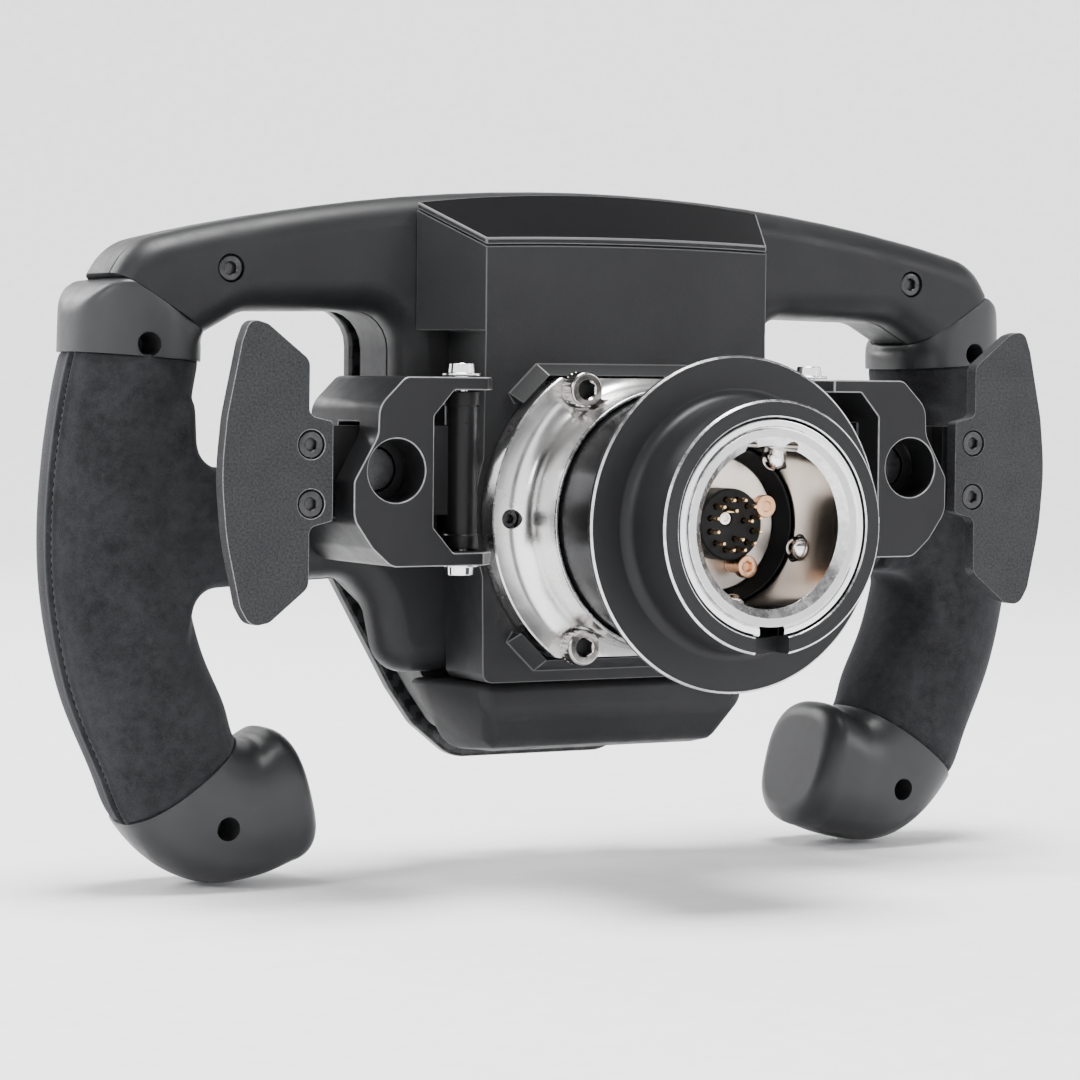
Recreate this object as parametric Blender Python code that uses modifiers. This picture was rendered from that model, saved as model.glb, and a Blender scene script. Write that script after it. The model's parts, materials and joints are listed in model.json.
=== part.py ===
# A formula-style racing wheel for a simulator, with its quick release, magnetic shift paddles,
# padded grips and front controls. Lengths are in millimetres until a mesh is made.
# +X is the driver's right, +Y points out of the quick release towards the wheel base, +Z is up.
# The origin is on the steering axis, in the plane of the release collar's front rim.
import math

import bmesh
import bpy
from mathutils import Matrix, Vector

for old in list(bpy.data.objects):
    bpy.data.objects.remove(old, do_unlink=True)

MM = 0.001
GAP = 0.3  # clearance between pieces that touch

# Layers along Y, from the driver's side to the wheel base
PLATE_FRONT, PLATE_REAR = -116.0, -112.0
SHELL_FRONT, SHELL_SPLIT, SHELL_REAR = -111.7, -93.15, -84.0
BLOCK_REAR = -65.0
GRIP_Y, GRIP_HALF_DEPTH = -101.0, 17.0

# Body outline, seen from behind
TOP_Z, TOP_RADIUS = 78.3, 480.0
WINDOW_TOP, WINDOW_BOTTOM, WINDOW_INNER = 50.3, 11.3, 58.3
SPOKE_END, SPOKE_BOTTOM = 87.7, -16.8

# Rear block and lower cover
BLOCK_HALF, BLOCK_FLARE, BLOCK_BOSS_R = 38.8, 47.6, 41.5
BLOCK_TOP, FLARE_TOP, FLARE_FOOT = 65.6, 76.4, 44.0
BLOCK_BOTTOM, COVER_BOTTOM = -39.0, -56.8
PANEL_THICK = 1.6

# Quick release: radii and places along Y
FLANGE_R, FLANGE_FLAT, FLANGE_FACE = 39.7, 33.0, -59.0
BOSS_R, BOSS_END = 31.0, -44.9
TUBE_R, BORE_R, BORE_FLOOR = 22.3, 18.4, -26.8
COLLAR_R, COLLAR_BOSS_R, COLLAR_BORE_R, COLLAR_FACE = 38.6, 28.8, 22.6, -15.3
SLEEVE_R, SLEEVE_END, COLLAR_TRAVEL, BALL_TRAVEL = 29.6, -49.5, 7.0, 2.6
BALL_R, BALL_CIRCLE, BALL_Y, BALL_COUNT = 3.1, 18.9, -17.1, 5
BOLT_CIRCLE_R, BOLT_ANGLES = 35.0, (60, 120, 240, 300)

# Shifter modules
PIVOT_X, PIVOT_Y = 48.0, -59.5
BRACKET_REAR, BRACKET_FRONT, BRACKET_WALL = -48.0, SHELL_REAR + GAP, -58.0
LEVER_REAR, LEVER_FRONT, LEVER_PAD = -58.8, -64.5, -54.3
LEVER_LOW, LEVER_HIGH = 1.2, 21.8
PADDLE_REAR, PADDLE_FRONT = -50.0, -54.0
PADDLE_BOLTS = ((90.9, 17.7), (90.9, 4.4))
SHIFTER_MID_Z = 11.5

# Front controls, as (x, z)
BUTTONS = ((-42, 46), (42, 46), (-46, 20), (46, 20), (-40, -6), (40, -6))
KNOBS = (("left_knob", -22, -28, 8.5), ("right_knob", 22, -28, 8.5), ("centre_knob", 0, -45, 7.0))
BUTTON_R, BUTTON_FLANGE_R = 5.5, 6.8
DISPLAY_Z, DISPLAY_SIZE = 26.0, (54.0, 28.0)
LIGHTS_Z, LIGHTS_SIZE = 61.0, (84.0, 7.0)

wheel = bpy.data.collections.new("racing_wheel")
cutters = bpy.data.collections.new("cutters")
for group in (wheel, cutters):
    bpy.context.scene.collection.children.link(group)


def finish(name, colour, roughness, metallic=0.0):
    """A Principled material with one colour."""
    material = bpy.data.materials.get(name) or bpy.data.materials.new(name)
    material.use_nodes = True
    shader = material.node_tree.nodes["Principled BSDF"]
    shader.inputs["Base Color"].default_value = (*colour, 1.0)
    shader.inputs["Roughness"].default_value = roughness
    shader.inputs["Metallic"].default_value = metallic
    return material


shell_plastic = finish("shell_plastic", (0.030, 0.031, 0.033), 0.45)
cover_plastic = finish("cover_plastic", (0.050, 0.051, 0.054), 0.42)
cap_plastic = finish("cap_plastic", (0.060, 0.062, 0.065), 0.40)
gloss_plastic = finish("gloss_plastic", (0.006, 0.006, 0.007), 0.12)
black_plastic = finish("black_plastic", (0.010, 0.010, 0.011), 0.50)
carbon = finish("carbon", (0.022, 0.023, 0.025), 0.30)
suede = finish("suede", (0.045, 0.046, 0.048), 0.95)
bright_metal = finish("bright_metal", (0.72, 0.71, 0.70), 0.25, 1.0)
chrome = finish("chrome", (0.85, 0.85, 0.85), 0.08, 1.0)
steel = finish("steel", (0.55, 0.53, 0.50), 0.25, 1.0)
black_steel = finish("black_steel", (0.05, 0.05, 0.05), 0.35, 1.0)
anodised = finish("anodised", (0.030, 0.031, 0.032), 0.38, 0.6)
powder_coat = finish("powder_coat", (0.060, 0.062, 0.066), 0.55, 0.2)
circuit_green = finish("circuit_green", (0.02, 0.10, 0.05), 0.40)
glass = finish("display_glass", (0.01, 0.01, 0.012), 0.05)
knob_finish = finish("knob_metal", (0.12, 0.12, 0.13), 0.35, 0.8)
button_finish = finish("button_plastic", (0.30, 0.03, 0.03), 0.40)


def shaded(mesh, angle=35):
    mesh.shade_smooth()
    mesh.set_sharp_from_angle(angle=math.radians(angle))


def put(name, mesh, material, group=wheel):
    """Links a mesh made in world millimetres as a named object in metres."""
    mesh.transform(Matrix.Scale(MM, 4))
    mesh.name = name
    piece = bpy.data.objects.new(name, mesh)
    group.objects.link(piece)
    if material:
        mesh.materials.append(material)
        shaded(mesh)
    else:
        piece.hide_render = True
        piece.display_type = "WIRE"
    return piece


def pivot_at(piece, x, y, z):
    """Moves the object's origin to its joint's axis, leaving the shape where it is."""
    place = Vector((x, y, z)) * MM
    piece.data.transform(Matrix.Translation(-place))
    piece.location = place
    return piece


def cleaned(mesh):
    work = bmesh.new()
    work.from_mesh(mesh)
    bmesh.ops.remove_doubles(work, verts=work.verts, dist=0.001)
    bmesh.ops.dissolve_limit(work, angle_limit=0.0005, verts=[], edges=work.edges)
    bmesh.ops.recalc_face_normals(work, faces=work.faces)
    work.to_mesh(mesh)
    work.free()
    return mesh


def rounded(corners, steps=4):
    """An outline of (x, z, radius) corners with each corner turned into an arc."""
    points = []
    count = len(corners)
    for i, (x, z, radius) in enumerate(corners):
        here = Vector((x, z))
        if radius <= 0:
            points.append((x, z))
            continue
        before = Vector(corners[i - 1][:2]) - here
        after = Vector(corners[(i + 1) % count][:2]) - here
        half = before.angle(after) / 2
        reach = min(radius / math.tan(half), before.length * 0.49, after.length * 0.49)
        centre = here + (before.normalized() + after.normalized()).normalized() * reach / math.cos(half)
        start = here + before.normalized() * reach - centre
        end = here + after.normalized() * reach - centre
        turn = start.angle_signed(end)
        for k in range(steps + 1):
            spoke = start.copy()
            spoke.rotate(Matrix.Rotation(-turn * k / steps, 2))
            points.append(tuple(centre + spoke))
    return points


def mirrored(half):
    """A closed outline from its right half, which runs from the top to the bottom."""
    left = [(-x, z) for x, z in reversed(half) if abs(x) > 0.01]
    return half + left


def sided(points, side):
    return [(side * x, z) for x, z in points]


def slab(name, outline, front, rear, material, holes=(), bevel=0.0, steps=2, group=wheel):
    """A flat outline in X and Z, as thick as from front to rear along Y."""
    curve = bpy.data.curves.new(name, "CURVE")
    curve.dimensions = "2D"
    curve.fill_mode = "BOTH"
    curve.extrude = (rear - front) / 2
    for loop in (outline, *holes):
        spline = curve.splines.new("POLY")
        spline.points.add(len(loop) - 1)
        for point, (x, z) in zip(spline.points, loop):
            point.co = (x, z, 0, 1)
        spline.use_cyclic_u = True
    carrier = bpy.data.objects.new(name, curve)
    cutters.objects.link(carrier)
    bpy.context.view_layer.update()
    mesh = bpy.data.meshes.new_from_object(carrier.evaluated_get(bpy.context.evaluated_depsgraph_get()))
    bpy.data.objects.remove(carrier)
    bpy.data.curves.remove(curve)
    mesh.transform(Matrix.Translation((0, (front + rear) / 2, 0)) @ Matrix.Rotation(math.pi / 2, 4, "X"))
    mesh.materials.clear()
    piece = put(name, cleaned(mesh), material, group)
    if bevel:
        soften(piece, bevel, steps)
    return piece


def soften(piece, width, steps=2, angle=50):
    bevel = piece.modifiers.new("soft_edges", "BEVEL")
    bevel.width = width * MM
    bevel.segments = steps
    bevel.limit_method = "ANGLE"
    bevel.angle_limit = math.radians(angle)
    bevel.use_clamp_overlap = True
    return piece


def turned(name, profile, material, axis="Y", steps=40, place=(0, 0, 0), group=wheel):
    """A closed (radius, height) profile turned about an axis through place. Height runs along the axis."""
    mesh = bpy.data.meshes.new(name)
    points = [(r * MM, 0, h * MM) for r, h in profile]
    ring = [(i, (i + 1) % len(points)) for i in range(len(points))]
    if profile[0][0] == 0 and profile[-1][0] == 0:
        ring.pop()
    mesh.from_pydata(points, ring, [])
    piece = bpy.data.objects.new(name, mesh)
    group.objects.link(piece)
    spin = piece.modifiers.new("turn", "SCREW")
    spin.steps = spin.render_steps = steps
    spin.use_merge_vertices = True
    spin.merge_threshold = 0.00001
    spin.use_normal_calculate = True
    bpy.context.view_layer.update()
    made = bpy.data.meshes.new_from_object(piece.evaluated_get(bpy.context.evaluated_depsgraph_get()))
    bpy.data.objects.remove(piece)
    bpy.data.meshes.remove(mesh)
    made.transform(Matrix.Scale(1 / MM, 4))
    if axis == "Y":
        made.transform(Matrix.Rotation(-math.pi / 2, 4, "X"))
    made.transform(Matrix.Translation(place))
    return put(name, cleaned(made), material, group)


def rod(name, start, end, radius, material=None, sides=16, group=cutters):
    """A plain cylinder from start to end."""
    work = bmesh.new()
    along = Vector(end) - Vector(start)
    turn = along.to_track_quat("Z", "Y").to_matrix().to_4x4()
    middle = Matrix.Translation((Vector(start) + Vector(end)) / 2)
    bmesh.ops.create_cone(
        work, cap_ends=True, segments=sides, radius1=radius, radius2=radius, depth=along.length, matrix=middle @ turn
    )
    mesh = bpy.data.meshes.new(name)
    work.to_mesh(mesh)
    work.free()
    return put(name, cleaned(mesh), material, group)


def box(name, low, high, material=None, group=cutters):
    work = bmesh.new()
    size = [b - a for a, b in zip(low, high)]
    centre = [(a + b) / 2 for a, b in zip(low, high)]
    shape = Matrix.Translation(centre) @ Matrix.Diagonal((*size, 1))
    bmesh.ops.create_cube(work, size=1, matrix=shape)
    mesh = bpy.data.meshes.new(name)
    work.to_mesh(mesh)
    work.free()
    return put(name, cleaned(mesh), material, group)


def hull(name, points, material=None, group=cutters):
    """The convex solid around a set of points."""
    work = bmesh.new()
    for point in points:
        work.verts.new(point)
    bmesh.ops.convex_hull(work, input=work.verts)
    loose = [v for v in work.verts if not v.link_faces]
    bmesh.ops.delete(work, geom=loose, context="VERTS")
    bmesh.ops.dissolve_limit(work, angle_limit=0.001, verts=work.verts, edges=work.edges)
    mesh = bpy.data.meshes.new(name)
    work.to_mesh(mesh)
    work.free()
    return put(name, cleaned(mesh), material, group)


def combine(piece, other, operation):
    joined = piece.modifiers.new(other.name, "BOOLEAN")
    joined.operation = operation
    joined.object = other
    joined.solver = "EXACT"
    return piece


def cut(piece, *others):
    for other in others:
        combine(piece, other, "DIFFERENCE")
    return piece


def add(piece, *others):
    for other in others:
        combine(piece, other, "UNION")
    return piece


def swept(name, stations, material, sides=16, group=wheel):
    """A closed loft through flat sections across a path in X and Z.

    A station is (x, z, slope, half_width, half_depth): slope is the path's direction in degrees."""
    work = bmesh.new()
    rings = []
    for x, z, slope, half_width, half_depth in stations:
        across = Vector((math.sin(math.radians(slope)), 0, -math.cos(math.radians(slope))))
        ring = []
        for k in range(sides):
            angle = 2 * math.pi * k / sides
            wide = math.copysign(abs(math.cos(angle)) ** 0.8, math.cos(angle)) * half_width
            deep = math.copysign(abs(math.sin(angle)) ** 0.8, math.sin(angle)) * half_depth
            ring.append(work.verts.new(Vector((x, GRIP_Y + deep, z)) + across * wide))
        rings.append(ring)
    for a, b in zip(rings, rings[1:]):
        for k in range(sides):
            work.faces.new((a[k], a[(k + 1) % sides], b[(k + 1) % sides], b[k]))
    work.faces.new(rings[0])
    work.faces.new(reversed(rings[-1]))
    mesh = bpy.data.meshes.new(name)
    work.to_mesh(mesh)
    work.free()
    return put(name, cleaned(mesh), material, group)


def top_edge(x, drop=0.0):
    """Height of the body's arched top edge."""
    return TOP_Z - drop - (TOP_RADIUS - math.sqrt(TOP_RADIUS**2 - x * x))


def body_half(flank, drop=0.0, arm_end=True):
    """The right half of the body's outline: arched top, arm, window side, spoke, then the given flank."""
    arch = [(x, top_edge(x, drop), 0) for x in (0, 20, 40, 60, 80, 100)]
    corners = arch + [(119.5, 62.5, 11), (123.2, 55.8, 0), (96.6, 44.8, 0), (89.5, WINDOW_TOP, 9)]
    corners += [(WINDOW_INNER, WINDOW_TOP + 1, 13), (WINDOW_INNER, WINDOW_BOTTOM, 8)]
    corners += [(SPOKE_END, WINDOW_BOTTOM, 0), (SPOKE_END, SPOKE_BOTTOM, 0)]
    return corners + flank


def body_outline(flank, drop=0.0):
    corners = body_half(flank, drop)
    left = [(-x, z, r) for x, z, r in reversed(corners) if x > 0]
    return rounded(corners + left, 3)


# ---- Handle: one swept form on each side, cut into cap, pad and cap by its stations ----
# (x, z, slope, half width, half depth)
HANDLE = (
    (110.6, 49.6, -67, 14.4, 14.6),
    (113.0, 42.5, -76, 15.2, 16.4),
    (113.6, 38.3, -79, 15.5, 16.8),
    (115.8, 27.0, -81, 15.8, 17.0),
    (117.6, 12.0, -86, 16.2, 17.0),
    (118.4, -5.0, -92, 16.5, 17.0),
    (117.0, -21.0, -98, 16.7, 17.0),
    (113.0, -37.0, -108, 17.0, 17.0),
    (106.6, -51.5, -118, 17.2, 17.0),
    (102.6, -60.0, -122, 17.8, 17.0),
    (95.5, -67.0, -140, 18.2, 17.0),
    (87.5, -70.2, -164, 18.0, 17.0),
    (79.0, -70.8, -180, 17.0, 16.6),
    (71.0, -70.2, -182, 14.6, 15.0),
    (66.6, -69.8, -182, 11.0, 11.6),
    (64.2, -69.6, -182, 6.2, 7.0),
)
TOP_SEAM, LOW_SEAM = 2, 9  # stations where the pad meets its caps


def handle_part(first, last, side, start_shift=0.0, end_shift=0.0):
    """Stations first..last for one side, with the ends moved along the path by the given gaps."""
    chosen = [list(s) for s in HANDLE[first : last + 1]]
    for station, shift in ((chosen[0], start_shift), (chosen[-1], end_shift)):
        station[0] += shift * math.cos(math.radians(station[2]))
        station[1] += shift * math.sin(math.radians(station[2]))
    if side < 0:
        chosen = [[-x, z, 180 - slope, w, d] for x, z, slope, w, d in chosen]
    return [tuple(s) for s in chosen]


def grip_core(name, side, radius, material, group):
    """The handle's rigid core: a bent bar with a branch along the spoke."""
    route = [(112.4, 46.0)] + [(x, z) for x, z, *_ in HANDLE[3:10]] + [(97.0, -65.5)]
    curve = bpy.data.curves.new(name, "CURVE")
    curve.dimensions = "3D"
    curve.bevel_depth = radius
    curve.bevel_resolution = 2
    curve.use_fill_caps = True
    spline = curve.splines.new("POLY")
    spline.points.add(len(route) - 1)
    for point, (x, z) in zip(spline.points, route):
        point.co = (side * x, GRIP_Y, z, 1)
    carrier = bpy.data.objects.new(name, curve)
    cutters.objects.link(carrier)
    bpy.context.view_layer.update()
    mesh = bpy.data.meshes.new_from_object(carrier.evaluated_get(bpy.context.evaluated_depsgraph_get()))
    bpy.data.objects.remove(carrier)
    bpy.data.curves.remove(curve)
    mesh.materials.clear()
    bar = put(name, cleaned(mesh), material, group)
    branch = rod(name + "_branch", (side * 117, GRIP_Y, -2.8), (side * (80 - radius / 4), GRIP_Y, -2.8), radius, sides=12)
    return add(bar, branch)


# ---- Body ----
def make_body():
    rear_flank = [(62.5, -14.4, 7), (57.0, -21.0, 5), (52.5, -37.8, 5)]
    front_flank = [(58.0, -15.0, 7), (50.5, -22.0, 4), (36.8, -44.0, 4), (30.5, -53.0, 6), (20.0, -57.2, 5)]
    plate_flank = [(60.5, -13.2, 5), (55.2, -16.5, 3), (39.5, -44.0, 6), (33.0, -53.0, 9), (22.0, -61.8, 10)]

    opening = rounded([(-34, 56, 6), (34, 56, 6), (34, -32, 6), (-34, -32, 6)])
    rear_shell = slab(
        "rear_shell", body_outline(rear_flank), SHELL_SPLIT + GAP / 2, SHELL_REAR, shell_plastic, [opening]
    )
    soften(rear_shell, 2.0, 2)

    front_shell = slab(
        "front_shell", body_outline(front_flank, 0.6), SHELL_FRONT, SHELL_SPLIT - GAP / 2, shell_plastic
    )
    pocket_half = [(44, 65, 4), (52, 42, 6), (52, -10, 8), (34, -42, 5), (24, -50, 5)]
    pocket = rounded(pocket_half + [(-x, z, r) for x, z, r in reversed(pocket_half)], 2)
    cut(front_shell, slab("shell_pocket", pocket, SHELL_FRONT + 3, SHELL_SPLIT + 5, None, group=cutters))

    plate_holes = [ring_points(x, z, BUTTON_R + 0.4) for x, z in BUTTONS]
    plate_holes += [ring_points(x, z, 3.3) for name, x, z, radius in KNOBS]
    plate_holes += [panel_outline(DISPLAY_Z, DISPLAY_SIZE, GAP), panel_outline(LIGHTS_Z, LIGHTS_SIZE, GAP)]
    corners = [(x, top_edge(x, 1.2), 0) for x in (0, 18, 36, 54, 72, 84)]
    corners += [(94, top_edge(94, 1.2), 4), (91, 50.5, 4), (WINDOW_INNER + 0.6, WINDOW_TOP + 2.0, 13)]
    corners += [(WINDOW_INNER + 0.6, WINDOW_BOTTOM - 0.8, 8), (84, WINDOW_BOTTOM - 0.8, 3), (84, SPOKE_BOTTOM + 0.8, 3)]
    corners += plate_flank
    left = [(-x, z, r) for x, z, r in reversed(corners) if x > 0]
    slab("front_plate", rounded(corners + left), PLATE_FRONT, PLATE_REAR, carbon, plate_holes)

    board_half = [(40, 58, 2), (46, 38, 2), (46, -10, 2), (30, -40, 2)]
    board = rounded(board_half + [(-x, z, r) for x, z, r in reversed(board_half)], 1)
    slab("main_board", board, -103.6, -102.0, circuit_green)
    slab("display_window", panel_outline(DISPLAY_Z, DISPLAY_SIZE), PLATE_FRONT - 0.3, PLATE_REAR, glass)
    slab("rev_light_bar", panel_outline(LIGHTS_Z, LIGHTS_SIZE), PLATE_FRONT - 0.5, PLATE_REAR, gloss_plastic)

    for x, z in BUTTONS:
        shaft = rod(f"button_way_{x}_{z}", (x, SHELL_FRONT - 5, z), (x, SHELL_FRONT + 8, z), BUTTON_FLANGE_R + 0.4)
        cut(front_shell, shaft)
    for name, x, z, radius in KNOBS:
        cut(front_shell, rod(name + "_way", (x, SHELL_FRONT - 5, z), (x, SHELL_FRONT + 8, z), 3.3))

    for side, word in ((1, "right"), (-1, "left")):
        x, z = side * 95.4, 57.7
        seat = rod(f"{word}_arm_seat", (x, SHELL_REAR - 2.4, z), (x, SHELL_REAR + 5, z), 4.0)
        way = rod(f"{word}_arm_way", (x, -106, z), (x, SHELL_REAR + 1, z), 1.9, sides=10)
        cut(rear_shell, seat, way)
        cut(front_shell, way)
        screw = [(0, -84.2), (3.6, -84.2), (3.7, -84.5), (3.7, -86.1), (1.6, -86.1), (1.6, -104), (0, -104)]
        turned(f"{word}_arm_screw", screw, black_steel, steps=14, place=(x, 0, z))
        core_way = grip_core(f"{word}_core_way", side, 6.3, None, cutters)
        cut(front_shell, core_way)
        make_grip(side, word, core_way)
    return rear_shell


def ring_points(x, z, radius, count=16):
    turn = 2 * math.pi / count
    return [(x + radius * math.cos(k * turn), z + radius * math.sin(k * turn)) for k in range(count)]


def panel_outline(z, size, grow=0.0):
    half_x, half_z = size[0] / 2 + grow, size[1] / 2 + grow
    return rounded([(half_x, z + half_z, 2), (half_x, z - half_z, 2), (-half_x, z - half_z, 2), (-half_x, z + half_z, 2)], 2)


def make_grip(side, word, core_way):
    grip_core(f"{word}_grip_core", side, 6.0, steel, wheel)
    top = swept(f"{word}_grip_top_cap", handle_part(0, TOP_SEAM, side, GAP, -GAP), cap_plastic)
    pad = swept(f"{word}_grip_pad", handle_part(TOP_SEAM, LOW_SEAM, side, 0, 0), suede)
    low = swept(f"{word}_grip_bottom_cap", handle_part(LOW_SEAM, len(HANDLE) - 1, side, GAP, 0), cap_plastic)
    web_corners = [(88.0, 11.2, 0.5), (96.0, 12.5, 5), (101.0, 20.0, 5), (112, 20, 0), (112, -28, 0)]
    web_corners += [(100.0, -26.0, 5), (97.0, -18.5, 5), (88.0, -16.7, 0.5)]
    web = slab(
        f"{word}_grip_web", sided(rounded(web_corners, 3), side), -113.5, -88.0, None, bevel=4.0, group=cutters
    )
    add(pad, web)
    for piece in (top, pad, low):
        cut(piece, core_way)


# ---- Rear block, panel and lower cover ----
def block_points(lift, half_rear, half_front):
    """Points of the flared top of the block, lowered by lift."""
    points = []
    for k in range(7):
        share = k / 3 - 1
        x_rear, x_front = share * half_rear, share * half_front
        arch = 1 - share * share
        points.append((x_rear, BLOCK_REAR, BLOCK_TOP + 0.7 * arch - lift))
        points.append((x_front, SHELL_REAR + GAP, FLARE_TOP - 2.0 + 3.0 * arch - lift))
    return points


def make_block():
    boss = [(BLOCK_BOSS_R * math.cos(a / 9), BLOCK_BOSS_R * math.sin(a / 9), 0) for a in range(3, -4, -1)]
    right = [(BLOCK_HALF, 60.0, 0), *boss, (BLOCK_HALF, BLOCK_BOTTOM, 2.5)]
    outline = rounded(right + [(-x, z, r) for x, z, r in reversed(right)], 3)
    block = slab("rear_housing", outline, SHELL_REAR + GAP, BLOCK_REAR, cover_plastic)
    crown = block_points(PANEL_THICK + GAP, BLOCK_HALF, BLOCK_FLARE)
    for sign in (-1, 1):
        crown.append((sign * BLOCK_HALF, BLOCK_REAR, FLARE_FOOT))
        crown.append((sign * BLOCK_FLARE, SHELL_REAR + GAP, FLARE_FOOT))
    add(block, hull("block_crown", crown))

    lip_top = [(-32.6, 29.4), (-25.4, 36.6), (25.4, 36.6), (32.6, 29.4), (30.8, 27.0), (23.9, 33.9), (-23.9, 33.9), (-30.8, 27.0)]
    for word, sign in (("upper", 1), ("lower", -1)):
        lip = [(x, sign * z) for x, z in lip_top]
        add(block, slab(f"{word}_lip", lip, BLOCK_REAR - 1, BLOCK_REAR + 4.2, None, bevel=0.8, steps=1, group=cutters))
    hollow = hull(
        "block_hollow",
        [
            (x, y, z)
            for x in (-33, 33)
            for y, z in ((SHELL_REAR - 2, -34), (-75, -34), (SHELL_REAR - 2, 66), (-75, 60))
        ],
    )
    cut(block, hollow, rod("cable_way", (0, -80, 0), (0, -60, 0), 8.0))

    low = block_points(12, BLOCK_HALF, BLOCK_FLARE)
    panel = hull("top_panel", block_points(0, BLOCK_HALF, BLOCK_FLARE) + low, gloss_plastic, wheel)
    under = []
    for x, y, z in block_points(PANEL_THICK, BLOCK_HALF, BLOCK_FLARE) + block_points(20, BLOCK_HALF, BLOCK_FLARE):
        stretch = (y + 75) * 0.3
        slope = (BLOCK_TOP - FLARE_TOP + 2) / (BLOCK_REAR - SHELL_REAR - GAP)
        under.append((x * 1.1, y + stretch, z + stretch * slope))
    cut(panel, hull("panel_under", under))

    top = BLOCK_BOTTOM - GAP
    cover = []
    for sign in (-1, 1):
        for x, y, z in (
            (36.5, -69.0, top),
            (35.0, -68.6, -47.0),
            (31.0, -74.0, COVER_BOTTOM + 1.6),
            (28.0, -80.0, COVER_BOTTOM),
            (45.0, SHELL_SPLIT + GAP, top),
            (34.0, SHELL_SPLIT + GAP, COVER_BOTTOM),
            (44.0, -86.0, top),
            (41.0, -86.0, -46.0),
        ):
            cover.append((sign * x, y, z))
    lower = hull("lower_cover", cover, cover_plastic, wheel)
    soften(lower, 2.5, 2, 25)
    cut(lower, box("cover_hollow", (-28, SHELL_SPLIT - 3, -52), (28, -74, top - 3)))
    return block


# ---- Quick release ----
def fillet(centre_r, centre_h, radius, start, end, count=4):
    """Arc points of a turned profile, angles in degrees in the (radius, height) plane."""
    steps = [math.radians(start + (end - start) * k / count) for k in range(count + 1)]
    return [(centre_r + radius * math.cos(a), centre_h + radius * math.sin(a)) for a in steps]


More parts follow.
